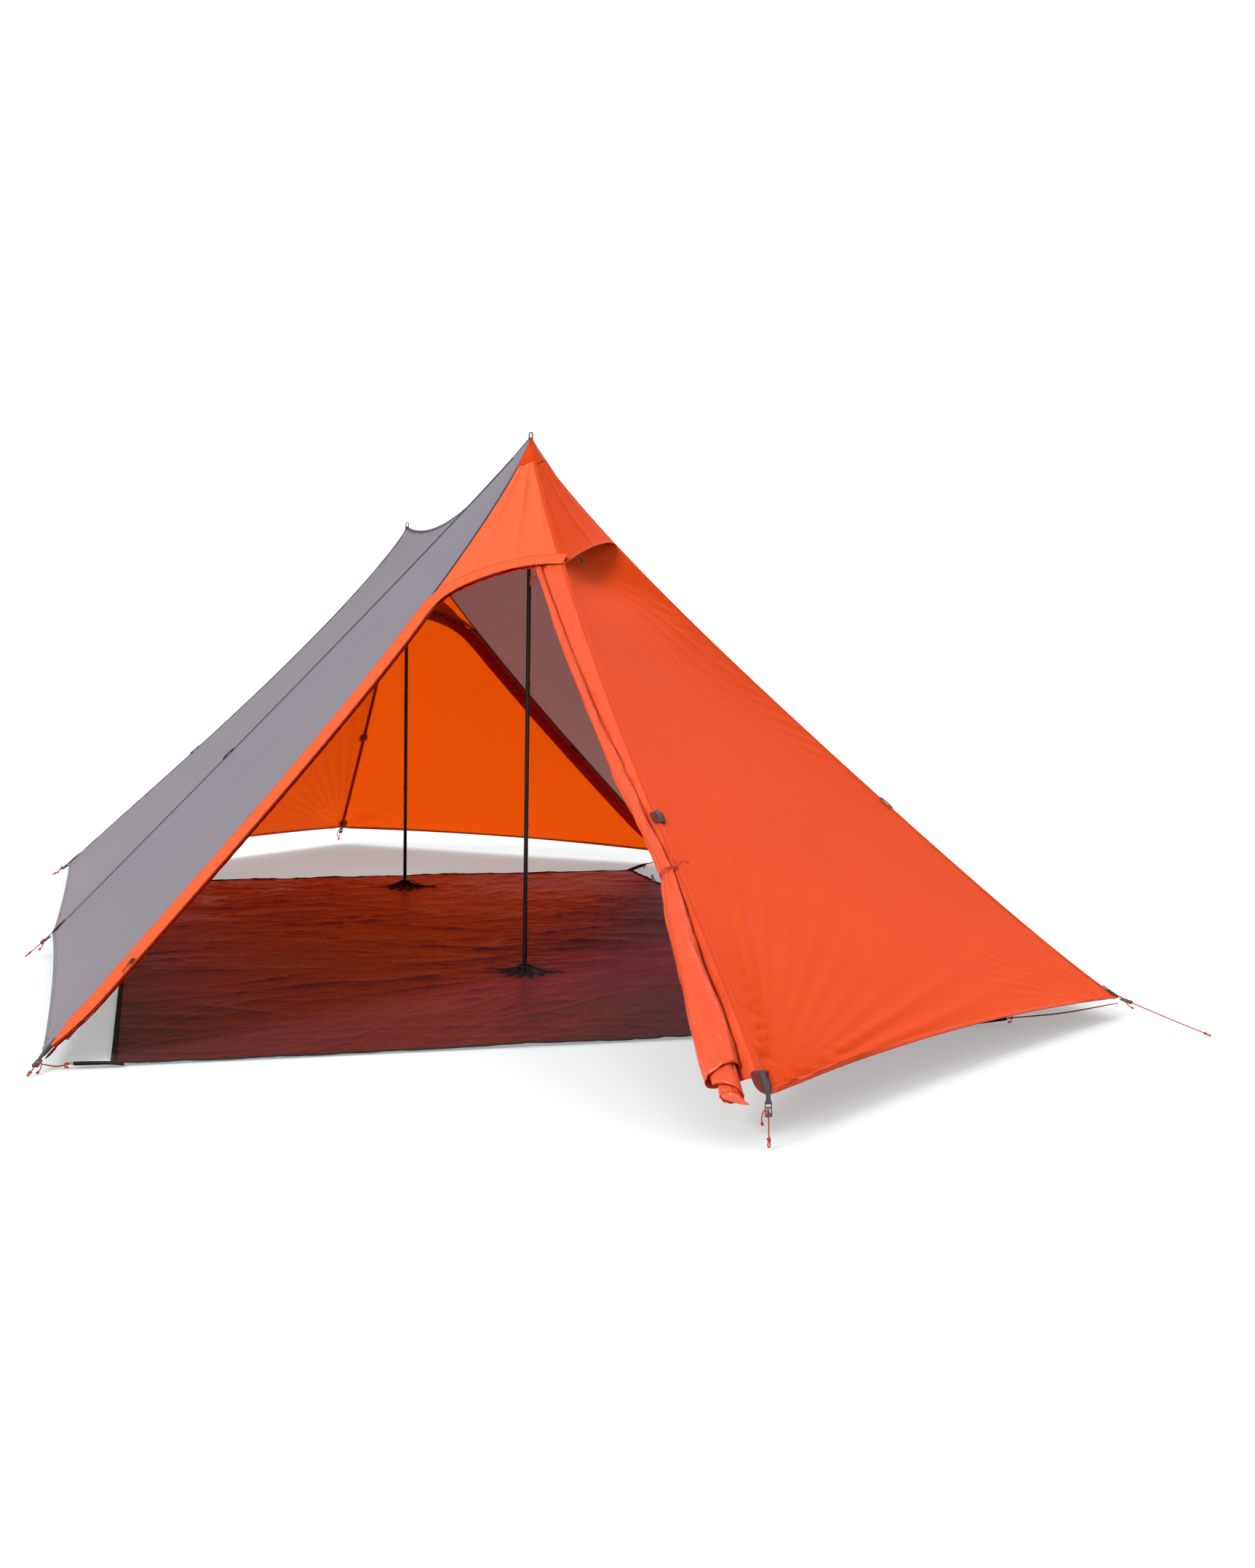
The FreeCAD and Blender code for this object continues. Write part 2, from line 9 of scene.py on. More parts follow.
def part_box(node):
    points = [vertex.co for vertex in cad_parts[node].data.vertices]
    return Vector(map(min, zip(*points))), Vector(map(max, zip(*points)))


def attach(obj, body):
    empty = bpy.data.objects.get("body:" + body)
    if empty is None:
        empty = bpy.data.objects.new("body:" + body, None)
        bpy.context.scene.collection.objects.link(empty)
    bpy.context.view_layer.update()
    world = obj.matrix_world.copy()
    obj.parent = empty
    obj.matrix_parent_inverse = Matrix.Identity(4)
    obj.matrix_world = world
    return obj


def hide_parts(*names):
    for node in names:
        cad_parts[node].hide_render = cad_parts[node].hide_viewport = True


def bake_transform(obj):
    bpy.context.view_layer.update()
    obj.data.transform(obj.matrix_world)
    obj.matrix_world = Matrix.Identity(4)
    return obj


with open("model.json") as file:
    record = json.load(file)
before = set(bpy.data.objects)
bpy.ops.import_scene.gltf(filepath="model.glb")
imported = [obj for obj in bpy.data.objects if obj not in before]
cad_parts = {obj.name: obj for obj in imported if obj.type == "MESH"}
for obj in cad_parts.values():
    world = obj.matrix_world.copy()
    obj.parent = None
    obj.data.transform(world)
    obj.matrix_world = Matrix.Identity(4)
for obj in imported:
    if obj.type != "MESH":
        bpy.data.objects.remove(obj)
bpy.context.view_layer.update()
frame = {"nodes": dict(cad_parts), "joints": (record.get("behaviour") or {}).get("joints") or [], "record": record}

# Looks for the two-pole shelter tent. Metres, in the part's own frame: the origin is under
# the head pole, +Y runs to the foot end, +X to the right seen from the head, +Z is up.

RECORD = frame["record"]
UP = np.array([0.0, 0.0, 1.0])
ROOT = "root"

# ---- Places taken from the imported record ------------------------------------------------
MOUNT = {m["name"]: np.array(m["pos_m"], float) for m in RECORD["mounts"]}
JOINT = {j["name"]: j for j in frame["joints"]}
CORNER_NAMES = [n[len("peg_loop_"):] for n in MOUNT if n.startswith("peg_loop_")]
LOCK_PIVOT = 0.014            # from a canopy corner to the bar that its webbing holds
PEAK_LOOP_RISE = 0.004        # from a peak to the middle of its webbing loop
ENDS = ("head", "foot")


def unit(v):
    """Return v at length 1."""
    return v / np.linalg.norm(v)


def directions(vectors):
    """Return each of many vectors at length 1."""
    return vectors / np.maximum(np.linalg.norm(vectors, axis=-1, keepdims=True), 1e-9)


def running_length(points):
    """Return how far along a path each of its points is."""
    return np.concatenate([[0], np.cumsum(np.linalg.norm(np.diff(points, axis=0), axis=1))])


def down(start, end, count):
    """Return even steps down the rows of a grid."""
    return np.linspace(start, end, count)[:, None]


def over(start, end, count):
    """Return even steps over the columns of a grid."""
    return np.linspace(start, end, count)[None, :]


def turns(count):
    """Return even steps of angle around a circle."""
    return np.linspace(0, 2 * math.pi, count, endpoint=False)


def circle(middle, x, y, count):
    """Return points around a middle: x and y are two of its radii."""
    return [middle + x * math.cos(a) + y * math.sin(a) for a in turns(count)]


def pivot_of(name):
    """Return where a corner's line lock hinges on its webbing."""
    return np.array(JOINT["guy_swing_" + name]["pos_m"], float)


def corner_of(name):
    """Return a canopy corner, a short way back from its line lock's pivot."""
    pivot = pivot_of(name)
    return pivot - unit(MOUNT["peg_loop_" + name] - pivot) * LOCK_PIVOT


CORNER = {name: corner_of(name) for name in CORNER_NAMES}
PEAK = {end: MOUNT["peak_loop_" + end] - UP * PEAK_LOOP_RISE for end in ENDS}

# ---- Sewn shape: the same seams and panels as the CAD model ------------------------------
SAG_RISE, SAG_FALL = 0.6, 1.3         # exponents of the seams' sag curve
DROOP_RISE, DROOP_FALL = 4.0, 0.8     # and of the extra droop near a corner
# How far each seam sags below a straight line, and its extra droop near the corner.
SEAM_SAG = {"head_left": (0.090, 0), "head_right": (0.084, 0.022), "head_centre": (0.100, -0.016),
            "mid_left": (0.015, 0), "mid_right": (0.015, 0),
            "foot_left": (0.062, 0), "foot_right": (0.062, 0), "foot_centre": (0.070, 0)}
RIDGE_SAG, RIDGE_RISE, RIDGE_FALL = 0.080, 1.2, 0.85
# Where the hood's lower edge meets each seam, as a share of the seam.
HOOD_AT_CORNER, HOOD_AT_CENTRE, HOOD_AT_WALL = 0.262, 0.186, 0.152
HOOD_ARCH = 0.046                     # how far the door arch rises between its two seams
HOOD_STANDOFF = 0.002                 # from the panels under the hood to the hood
VENT_LIFT, VENT_HEM_RISE = 0.014, 0.012
STRIP_WIDE = 0.034                    # the cloth left beside an open door
PATCH_MID = 0.62                      # where the patches with pull-out loops lie on each seam
FOLD_DEPTH = 1.6                      # how strongly all the tension folds show
FOLD_EDGE = 0.016                     # how near a sewn edge the folds die out


def hump(t, rise, fall):
    """Return a curve of t that is 0 at both ends and 1 at its highest."""
    highest = rise / (rise + fall)
    return t ** rise * (1 - t) ** fall / (highest ** rise * (1 - highest) ** fall)


def seam(name):
    """Return a function from shares of a seam's length to points on it."""
    top = PEAK["foot" if name.startswith("foot") else "head"]
    low = CORNER[name]
    depth, droop = SEAM_SAG[name]

    def at(t):
        t = np.clip(np.asarray(t, float), 0, 1)[..., None]
        drop = depth * hump(t, SAG_RISE, SAG_FALL) + droop * hump(t, DROOP_RISE, DROOP_FALL)
        return top + (low - top) * t - UP * drop
    return at


SEAM = {name: seam(name) for name in CORNER_NAMES}


def stretch(curve, start, end):
    """Return part of a curve as a curve of its own."""
    def at(t):
        return curve(start + (end - start) * np.asarray(t, float))
    return at


class Panel:
    """A piece of fabric stretched between two curves, with its set-up shape and folds."""

    def __init__(self, a, b, hollow=0.0, hem_rise=0.0, ridge_sag=0.0, lift=0.0, standoff=0.0):
        self.a, self.b = a, b
        self.hollow, self.hem_rise, self.ridge_sag = hollow, hem_rise, ridge_sag
        self.lift, self.standoff = lift, standoff
        near = (a(0.1) + b(0.1)) / 2
        normal = unit(np.cross(a(1) - near, b(1) - near))
        middle = (PEAK["head"] + PEAK["foot"]) / 2 * np.array([1, 1, 0.36])
        self.out = normal if normal @ (near - middle) > 0 else -normal
        self.slope = unit((a(0) + b(0)) / 2 - (a(1) + b(1)) / 2)
        self.origin = (a(0) + b(0)) / 2
        self.x_axis = unit(b(1) - a(1))
        self.y_axis = unit(np.cross(self.out, self.x_axis))
        self.folds = []

    def width(self, t):
        """Return the distance between the two curves at t."""
        return np.maximum(np.linalg.norm(self.b(t) - self.a(t), axis=-1), 1e-4)

    def length(self):
        """Return the mean length of the two curves."""
        return (np.linalg.norm(self.a(1) - self.a(0)) + np.linalg.norm(self.b(1) - self.b(0))) / 2

    def plane(self, p):
        """Return a point's place in the panel's own flat axes."""
        return (p - self.origin) @ self.x_axis, (p - self.origin) @ self.y_axis

    def base(self, s, t):
        """Return points of the smooth set-up shape."""
        s, t = np.broadcast_arrays(np.asarray(s, float), np.asarray(t, float))
        a, b = self.a(t), self.b(t)
        bow = 4 * s * (1 - s)
        # The lift is highest beyond the middle of the hem.
        reach = self.standoff * np.minimum(1, 2 * bow) + self.lift * hump(s, 1.5, 0.8) * t ** 2
        reach = reach - self.hollow * bow * np.sin(math.pi * np.clip(t, 0, 1))
        p = a + (b - a) * s[..., None] + self.slope * (self.hem_rise * bow * t ** 4)[..., None]
        sag = self.ridge_sag * hump(s, RIDGE_RISE, RIDGE_FALL) * np.clip(1 - t, 0, 1) ** 3
        p = p - UP * sag[..., None]
        return p + self.out * reach[..., None]

    def at(self, s, t, height=0.0):
        """Return points of the folded fabric, raised by height. Sewn edges have no folds."""
        s, t = np.broadcast_arrays(np.asarray(s, float), np.asarray(t, float))
        p = self.base(s, t)
        x, y = self.plane(p)
        rise = np.zeros(x.shape)
        for fold in self.folds:
            rise = rise + fold(x, y, s, t)
        width = self.width(t)
        for off in (s * width, (1 - s) * width, t * self.length()):
            rise = rise * (1 - np.exp(-(np.maximum(off, 0) / FOLD_EDGE) ** 1.5))
        return p + self.out * (rise + height)[..., None]

    def fan(self, s, t, amp, reach, lobes, seed, inner=0.04):
        """Add folds that spread from a point of the panel."""
        cx, cy = self.plane(self.base(s, t))

        def height(x, y, s, t):
            dx, dy = x - cx, y - cy
            d, angle = np.hypot(dx, dy), np.arctan2(dy, dx)
            wave = crest(lobes * angle + 1.6 * drift(angle * 4, seed) + 0.5 * drift(d * 6, seed + 1))
            vary = 0.55 + 0.45 * drift(angle * 7, seed + 2)
            fade = np.exp(-(d / reach) ** 1.6) * (1 - np.exp(-(d / inner) ** 2))
            return FOLD_DEPTH * amp * wave * vary * fade
        self.folds.append(height)

    def recess(self, s0, t0, wide, tall, depth):
        """Draw part of the panel inwards."""
        def height(x, y, s, t):
            return -depth * np.exp(-((s - s0) / wide) ** 2 - ((t - t0) / tall) ** 2)
        self.folds.append(height)

    def pucker(self, side, amp, step, depth, slant, seed):
        """Add short folds that run off one edge: a, b, hem or top."""
        length = self.length()

        def height(x, y, s, t):
            wide = self.width(t)
            edge = {"a": (s * wide, t * length), "b": ((1 - s) * wide, t * length),
                    "hem": ((1 - t) * length, s * wide), "top": (t * length, s * wide)}[side]
            off, along = edge
            phase = 2 * math.pi * (along + slant * off) / step
            wave = crest(phase + 1.8 * drift(along * 5, seed))
            vary = 0.5 + 0.5 * drift(along * 3 + off * 2, seed + 1)
            return FOLD_DEPTH * amp * wave * vary * np.exp(-off / depth) * (1 - np.exp(-off / 0.012))
        self.folds.append(height)


def drift(x, seed):
    """Return smooth noise of x between about -1 and 1."""
    rng = np.random.RandomState(seed)
    total = np.zeros(np.shape(x))
    for octave, share in ((1.0, 0.55), (2.17, 0.3), (4.3, 0.15)):
        total = total + share * np.sin(octave * x * (0.8 + 0.4 * rng.rand()) + 6.28 * rng.rand())
    return total


def value_noise(x, y, seed):
    """Return smooth noise over a plane, between 0 and 1, with features about 1 across."""
    side = 256
    lattice = np.random.RandomState(seed).rand(side, side)
    xi, yi = np.floor(x).astype(int), np.floor(y).astype(int)
    fx, fy = x - xi, y - yi
    fx, fy = fx * fx * (3 - 2 * fx), fy * fy * (3 - 2 * fy)
    x0, x1, y0, y1 = xi % side, (xi + 1) % side, yi % side, (yi + 1) % side
    low = lattice[x0, y0] * (1 - fx) + lattice[x1, y0] * fx
    high = lattice[x0, y1] * (1 - fx) + lattice[x1, y1] * fx
    return low * (1 - fy) + high * fy


def crest(phase):
    """Return a wave with narrow crests and wide hollows, with a mean near nought."""
    return (1 - np.abs(np.sin(phase / 2))) ** 1.7 * 1.5 - 0.45


def make_panels():
    """Return the panels by name, before their folds."""
    s = SEAM
    panels = {"head_wall": Panel(s["head_centre"], s["head_right"], 0.020, 0.034),
              "head_door": Panel(s["head_left"], s["head_centre"]),
              "foot_wall": Panel(s["foot_centre"], s["foot_left"], 0.014, 0.022),
              "foot_door": Panel(s["foot_right"], s["foot_centre"], 0.014, 0.022)}
    for side in ("left", "right"):
        head, mid, foot = s["head_" + side], s["mid_" + side], s["foot_" + side]
        panels["side_front_" + side] = Panel(head, mid, 0.022, 0.018)
        panels["side_rear_" + side] = Panel(mid, foot, 0.026, 0.014, RIDGE_SAG)
    for end, corner, wall in (("head", "left", "right"), ("foot", "right", "left")):
        centre = stretch(s[end + "_centre"], 0, HOOD_AT_CENTRE)
        arch = Panel(stretch(s[end + "_" + corner], 0, HOOD_AT_CORNER), centre,
                     hem_rise=HOOD_ARCH, standoff=HOOD_STANDOFF)
        flap = Panel(centre, stretch(s[end + "_" + wall], 0, HOOD_AT_WALL),
                     hem_rise=VENT_HEM_RISE, lift=VENT_LIFT, standoff=HOOD_STANDOFF)
        panels[end + "_arch"], panels[end + "_flap"] = arch, flap
    return panels


def add_folds(panels):
    """Give each panel the folds that tension puts in it."""
    for i, side in enumerate(("left", "right")):
        front, rear = panels["side_front_" + side], panels["side_rear_" + side]
        seed = 100 + 40 * i
        front.fan(0, 1, 0.0044, 0.40, 74, seed)
        front.fan(1, 1, 0.0034, 0.34, 70, seed + 3)
        front.fan(0, 0, 0.0018, 0.60, 90, seed + 6, inner=0.15)
        front.pucker("a", 0.0050, 0.085, 0.13, 1.3, seed + 9)
        front.pucker("a", 0.0020, 0.034, 0.05, 1.6, seed + 10)
        front.pucker("b", 0.0018, 0.060, 0.05, -0.8, seed + 12)
        rear.fan(0, 1, 0.0034, 0.36, 70, seed + 15)
        rear.fan(1, 1, 0.0040, 0.42, 70, seed + 18)
        rear.fan(1, 0, 0.0040, 0.50, 40, seed + 21, inner=0.06)
        rear.fan(0, 0, 0.0024, 0.40, 60, seed + 24, inner=0.10)
        rear.pucker("b", 0.0036, 0.080, 0.12, -1.2, seed + 27)
        rear.pucker("a", 0.0020, 0.060, 0.06, 0.9, seed + 30)
    wall = panels["head_wall"]
    wall.fan(0, 1, 0.0056, 0.80, 70, 11)
    wall.fan(1, 1, 0.0030, 0.42, 90, 14)
    wall.fan(0.02, PATCH_MID, 0.0010, 0.26, 40, 17)
    wall.fan(0, 0.1, 0.0012, 0.60, 44, 20, inner=0.2)
    wall.pucker("a", 0.0022, 0.052, 0.07, -1.0, 23)
    wall.pucker("b", 0.0016, 0.070, 0.07, 0.9, 26)
    for i, (name, s) in enumerate((("foot_wall", 0), ("foot_door", 1))):
        panel = panels[name]
        panel.fan(s, 1, 0.0044, 0.55, 76, 41 + 9 * i)
        panel.fan(1 - s, 1, 0.0040, 0.42, 76, 44 + 9 * i)
        panel.fan(0.5, 0, 0.0024, 0.60, 90, 47 + 9 * i, inner=0.2)
        panel.pucker("a" if s == 0 else "b", 0.0022, 0.055, 0.07, -1.0, 50 + 9 * i)
    for end in ENDS:
        panels[end + "_wall"].recess(0.5, 0.185, 0.42, 0.055, 0.034)
    for i, end in enumerate(ENDS):
        panels[end + "_arch"].fan(0.5, -0.02, 0.0052, 0.60, 30, 61 + 9 * i, inner=0.12)
        panels[end + "_arch"].pucker("hem", 0.0020, 0.040, 0.03, 0.6, 62 + 9 * i)
        panels[end + "_flap"].fan(0.5, -0.02, 0.0018, 0.60, 32, 64 + 9 * i, inner=0.14)


PANEL = make_panels()
add_folds(PANEL)

# Which panels meet at each seam: name, and the end of s that lies on the seam.
NEIGHBOURS = {
    "head_left": (("side_front_left", 0), ("head_door", 0)),
    "head_centre": (("head_door", 1), ("head_wall", 0)),
    "head_right": (("head_wall", 1), ("side_front_right", 0)),
    "mid_left": (("side_rear_left", 0), ("side_front_left", 1)),
    "mid_right": (("side_front_right", 1), ("side_rear_right", 0)),
    "foot_left": (("foot_wall", 1), ("side_rear_left", 1)),
    "foot_centre": (("foot_door", 1), ("foot_wall", 0)),
    "foot_right": (("side_rear_right", 1), ("foot_door", 0)),
}


def on_seam(name, across, t, height):
    """Return points beside a seam: across is the distance to its first or second panel."""
    across, t, height = np.broadcast_arrays(across, t, height)
    (first, first_end), (second, second_end) = NEIGHBOURS[name]
    points = []
    for panel_name, end in ((first, first_end), (second, second_end)):
        panel = PANEL[panel_name]
        s = np.minimum(np.abs(across) / panel.width(t), 0.45)
        points.append((panel.at(s if end == 0 else 1 - s, t), panel.out))
    blend = np.clip(across / 0.008 + 0.5, 0, 1)[..., None]
    normal = directions(points[0][1] * (1 - blend) + points[1][1] * blend)
    place = np.where((across < 0)[..., None], points[0][0], points[1][0])
    return place + normal * height[..., None]


# ---- Mesh helpers -----------------------------------------------------------------------
def make_object(name, verts, faces, material, smooth=True, uv=None):
    """Return a new mesh object, linked to the scene."""
    mesh = bpy.data.meshes.new(name)
    mesh.from_pydata([tuple(v) for v in verts], [], faces)
    if smooth:
        mesh.polygons.foreach_set("use_smooth", [True] * len(mesh.polygons))
    if uv is not None:
        layer = mesh.uv_layers.new(name="UVMap")
        loops = np.zeros(len(mesh.loops), int)
        mesh.loops.foreach_get("vertex_index", loops)
        layer.data.foreach_set("uv", np.asarray(uv, float)[loops].ravel())
    mesh.validate()
    mesh.update()
    obj = bpy.data.objects.new(name, mesh)
    bpy.context.scene.collection.objects.link(obj)
    obj.data.materials.append(material)
    return obj


def grid_faces(rows, columns, wrap=False):
    """Return the quads of a grid of points, row by row."""
    span = columns if wrap else columns - 1
    return [(i * columns + j, i * columns + (j + 1) % columns,
             (i + 1) * columns + (j + 1) % columns, (i + 1) * columns + j)
            for i in range(rows - 1) for j in range(span)]


def sheet(name, points, uv, material, thickness=0.0006, wrap=False):
    """Return a thin fabric sheet over a grid of points, as a closed solid."""
    faces = grid_faces(*points.shape[:2], wrap)
    obj = make_object(name, points.reshape(-1, 3), faces, material, uv=uv.reshape(-1, 2))
    modifier = obj.modifiers.new("thickness", "SOLIDIFY")
    modifier.thickness, modifier.offset = thickness, 0.0
    return obj


def finish_piece(obj, body, slot, *nodes):
    """Put a piece on its body and hide the CAD nodes it stands for; its slot is not used."""
    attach(obj, body)
    if nodes:
        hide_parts(*nodes)
    return obj


def join(name, objects):
    """Join objects into one, with their modifiers applied."""
    graph = bpy.context.evaluated_depsgraph_get()
    graph.update()
    meshes = []
    for obj in objects:
        mesh = bpy.data.meshes.new_from_object(obj.evaluated_get(graph))
        mesh.transform(obj.matrix_world)
        meshes.append((obj, mesh))
    first = meshes[0][0]
    for obj, mesh in meshes:
        obj.modifiers.clear()
        obj.data = mesh
        obj.matrix_world = Matrix.Identity(4)
    with bpy.context.temp_override(active_object=first, object=first,
                                   selected_objects=objects, selected_editable_objects=objects):
        bpy.ops.object.join()
    first.name = name
    first.data.name = name
    return first


# ---- Materials --------------------------------------------------------------------------
class Shader:
    """A small wrapper that builds a node material from calls."""

    def __init__(self, name):
        self.material = bpy.data.materials.new(name)
        self.material.use_nodes = True
        self.tree = self.material.node_tree
        self.tree.nodes.clear()

    def node(self, kind, inputs=None, **settings):
        """Add a node, set its properties and connect or set its inputs."""
        node = self.tree.nodes.new("ShaderNode" + kind)
        for key, value in settings.items():
            setattr(node, key, value)
        for key, value in (inputs or {}).items():
            self.put(node.inputs[key], value)
        return node

    def put(self, socket, value):
        """Connect a socket to another socket or give it a value."""
        if isinstance(value, bpy.types.NodeSocket):
            self.tree.links.new(value, socket)
        else:
            socket.default_value = value

    def math(self, operation, *values):
        """Add a math node and return its output."""
        node = self.node("Math", operation=operation)
        for i, value in enumerate(values):
            self.put(node.inputs[i], value)
        return node.outputs[0]

    def mix(self, share, a, b, blend="MIX"):
        """Mix two colours and return the output."""
        node = self.node("Mix", data_type="RGBA", blend_type=blend)
        for key, value in ((0, share), (6, a), (7, b)):
            self.put(node.inputs[key], value)
        return node.outputs[2]

    def noise(self, vector, scale, detail=3.0, rough=0.55):
        """Add a noise texture and return its factor."""
        node = self.node("TexNoise", {"Vector": vector, "Scale": scale, "Detail": detail,
                                      "Roughness": rough})
        return node.outputs["Fac"]

    def bump(self, height, strength, distance, normal=None):
        """Add a bump node and return its normal."""
        inputs = {"Height": height, "Strength": strength, "Distance": distance}
        if normal is not None:
            inputs["Normal"] = normal
        return self.node("Bump", inputs).outputs["Normal"]

    def finish(self, shader):
        """Connect the surface and return the material."""
        self.node("OutputMaterial", {"Surface": shader})
        return self.material


def rgba(r, g, b):
    """Return an opaque linear colour."""
    return (r, g, b, 1.0)


def tinted(colour, by, extra=0.0):
    """Return a colour made lighter or darker, as an opaque one."""
    return rgba(*[min(c * by + extra, 1.0) for c in colour])


RIPSTOP, RIPSTOP_THREAD = 0.0055, 0.0006
STITCH, STITCH_THREAD = 0.0042, 0.0010
SHEEN = 0.01
# Light that cloth throws on other things is greyer than the cloth looks.
MUTE, MUTED_FRONT, MUTED_BEHIND = 0.72, (0.24, 0.24, 0.25), (0.30, 0.30, 0.31)


def grid_lines(sh, uv):
    """Return a mask of thin crossing lines, as in ripstop cloth."""
    parts = sh.node("SeparateXYZ", {"Vector": uv})
    lines = []
    for axis in ("X", "Y"):
        wave = sh.math("PINGPONG", parts.outputs[axis], RIPSTOP / 2)
        lines.append(sh.math("LESS_THAN", wave, RIPSTOP_THREAD / 2))
    return sh.math("MAXIMUM", lines[0], lines[1])


def stitch_mask(sh, uv, rows):
    """Return a mask of stitches in rows at fixed distances from the middle line."""
    parts = sh.node("SeparateXYZ", {"Vector": uv})
    beat = sh.math("PINGPONG", parts.outputs["Y"], STITCH / 2)
    dash = sh.math("GREATER_THAN", beat, STITCH * 0.13)
    total = None
    for row in rows:
        off = sh.math("ABSOLUTE", sh.math("SUBTRACT", parts.outputs["X"], row))
        line = sh.math("LESS_THAN", off, STITCH_THREAD / 2)
        total = line if total is None else sh.math("MAXIMUM", total, line)
    return sh.math("MULTIPLY", total, dash)


def fabric(name, colour, through, clear=0.35, rough=0.42, crinkle=0.25, vary=0.08,
           stitches=(), thread=None, gloss=0.08, far=None):
    """Return thin coated cloth: ripstop grid, weave, soft creases and light from behind.

    Clear is how much light comes through. Far is painted light: the colour that it fades to at the foot end, as if
    lit through the orange walls.
    """
    sh = Shader(name)
    uv = sh.node("TexCoord").outputs["UV"]
    place = sh.node("TexCoord").outputs["Object"]
    grid = grid_lines(sh, uv)
    weave = sh.noise(uv, 2600, 2.0)
    blotch = sh.noise(place, 3.2, 4.0)
    fine = sh.noise(place, 46, 4.0, 0.6)
    dark = tinted(colour, 1 - vary)
    tone = sh.mix(blotch, dark, tinted(colour, 1 + vary))
    # Painted light: the tone fades to the far colour along the part's Y, towards the foot end.
    if far is not None:
        along = sh.node("SeparateXYZ", {"Vector": place}).outputs["Y"]
        reach = sh.node("MapRange", {0: along, 1: -0.6, 2: 1.5}).outputs[0]
        tone = sh.mix(reach, tone, rgba(*far))
    tone = sh.mix(sh.math("MULTIPLY", grid, 0.16), tone, dark)
    height = sh.math("ADD", sh.math("MULTIPLY", weave, 0.25), sh.math("MULTIPLY", grid, 0.5))
    normal = sh.bump(fine, crinkle, 0.004)
    normal = sh.bump(height, 0.20, 0.0003, normal)
    if stitches:
        stitch = stitch_mask(sh, uv, stitches)
        tone = sh.mix(sh.math("MULTIPLY", stitch, 0.8), tone, rgba(*(thread or dark[:3])))
        normal = sh.bump(stitch, 0.6, 0.0008, normal)
    roughness = sh.math("ADD", sh.math("MULTIPLY", fine, 0.16), rough - 0.08)
    bounced = sh.math("MULTIPLY", sh.node("LightPath").outputs["Is Diffuse Ray"], MUTE)
    tone = sh.mix(bounced, tone, rgba(*MUTED_FRONT))
    behind = sh.mix(bounced, rgba(*through), rgba(*MUTED_BEHIND))
    front = sh.node("BsdfPrincipled", {"Base Color": tone, "Roughness": roughness,
                                       "Normal": normal, "Sheen Weight": SHEEN,
                                       "Specular IOR Level": gloss})
    back = sh.node("BsdfTranslucent", {"Color": behind, "Normal": normal})
    both = sh.node("MixShader", {0: clear, 1: front.outputs[0], 2: back.outputs[0]})
    return sh.finish(both.outputs[0])


def woven(name, colour, step):
    """Return thick woven cloth or webbing with a visible weave."""
    sh = Shader(name)
    uv = sh.node("TexCoord").outputs["UV"]
    parts = sh.node("SeparateXYZ", {"Vector": uv})
    waves = [sh.math("SINE", sh.math("MULTIPLY", parts.outputs[axis], 2 * math.pi / step))
             for axis in ("X", "Y")]
    knots = sh.math("MULTIPLY", *waves)
    fuzz = sh.noise(uv, 900, 3.0)
    tone = sh.mix(sh.math("MULTIPLY_ADD", knots, 0.3, 0.55), tinted(colour, 0.62), rgba(*colour))
    tone = sh.mix(sh.math("MULTIPLY", fuzz, 0.3), tone, tinted(colour, 1.3))
    height = sh.math("ADD", knots, sh.math("MULTIPLY", fuzz, 0.6))
    body = sh.node("BsdfPrincipled", {"Base Color": tone, "Roughness": 0.75,
                                      "Normal": sh.bump(height, 0.6, 0.0006),
                                      "Sheen Weight": 0.04, "Specular IOR Level": 0.15})
    return sh.finish(body.outputs[0])


def cord_material(name, colour):
    """Return braided cord: strands that cross along its length."""
    sh = Shader(name)
    uv = sh.node("TexCoord").outputs["UV"]
    parts = sh.node("SeparateXYZ", {"Vector": uv})
    waves = []
    for sign in (1.0, -1.0):
        turn = sh.math("MULTIPLY_ADD", parts.outputs["X"], 6 * 2 * math.pi * sign,
                       sh.math("MULTIPLY", parts.outputs["Y"], 2 * math.pi / 0.0035))
        waves.append(sh.math("SINE", turn))
    braid = sh.math("MAXIMUM", waves[0], waves[1])
    tone = sh.mix(sh.math("MULTIPLY_ADD", braid, 0.35, 0.6), tinted(colour, 0.45), rgba(*colour))
    fleck = sh.math("GREATER_THAN", sh.noise(uv, 420, 1.0), 0.66)
    tone = sh.mix(sh.math("MULTIPLY", fleck, 0.35), tone, rgba(0.55, 0.5, 0.48))
    body = sh.node("BsdfPrincipled", {"Base Color": tone, "Roughness": 0.7,
                                      "Normal": sh.bump(braid, 0.7, 0.0004),
                                      "Sheen Weight": 0.05, "Specular IOR Level": 0.2})
    return sh.finish(body.outputs[0])


def hard(name, colour, rough, metal=0.0, grain=600.0, bump=0.15, wear=0.25):
    """Return moulded plastic, rubber or metal with fine grain and worn, lighter edges."""
    sh = Shader(name)
    place = sh.node("TexCoord").outputs["Object"]
    speck = sh.noise(place, grain, 4.0)
    smear = sh.noise(place, 28, 4.0)
    edge = sh.node("NewGeometry").outputs["Pointiness"]
    edge = sh.node("MapRange", {0: edge, 1: 0.52, 2: 0.60}).outputs[0]
    worn = sh.math("MULTIPLY", sh.math("MULTIPLY", edge, smear), wear * 2)
    tone = sh.mix(smear, tinted(colour, 0.85), tinted(colour, 1.15))
    tone = sh.mix(worn, tone, tinted(colour, 2.2, 0.05))
    roughness = sh.math("MULTIPLY_ADD", smear, 0.2, rough - 0.1)
    body = sh.node("BsdfPrincipled", {"Base Color": tone, "Roughness": roughness,
                                      "Metallic": metal,
                                      "Normal": sh.bump(speck, bump, 0.0002)})
    return sh.finish(body.outputs[0])
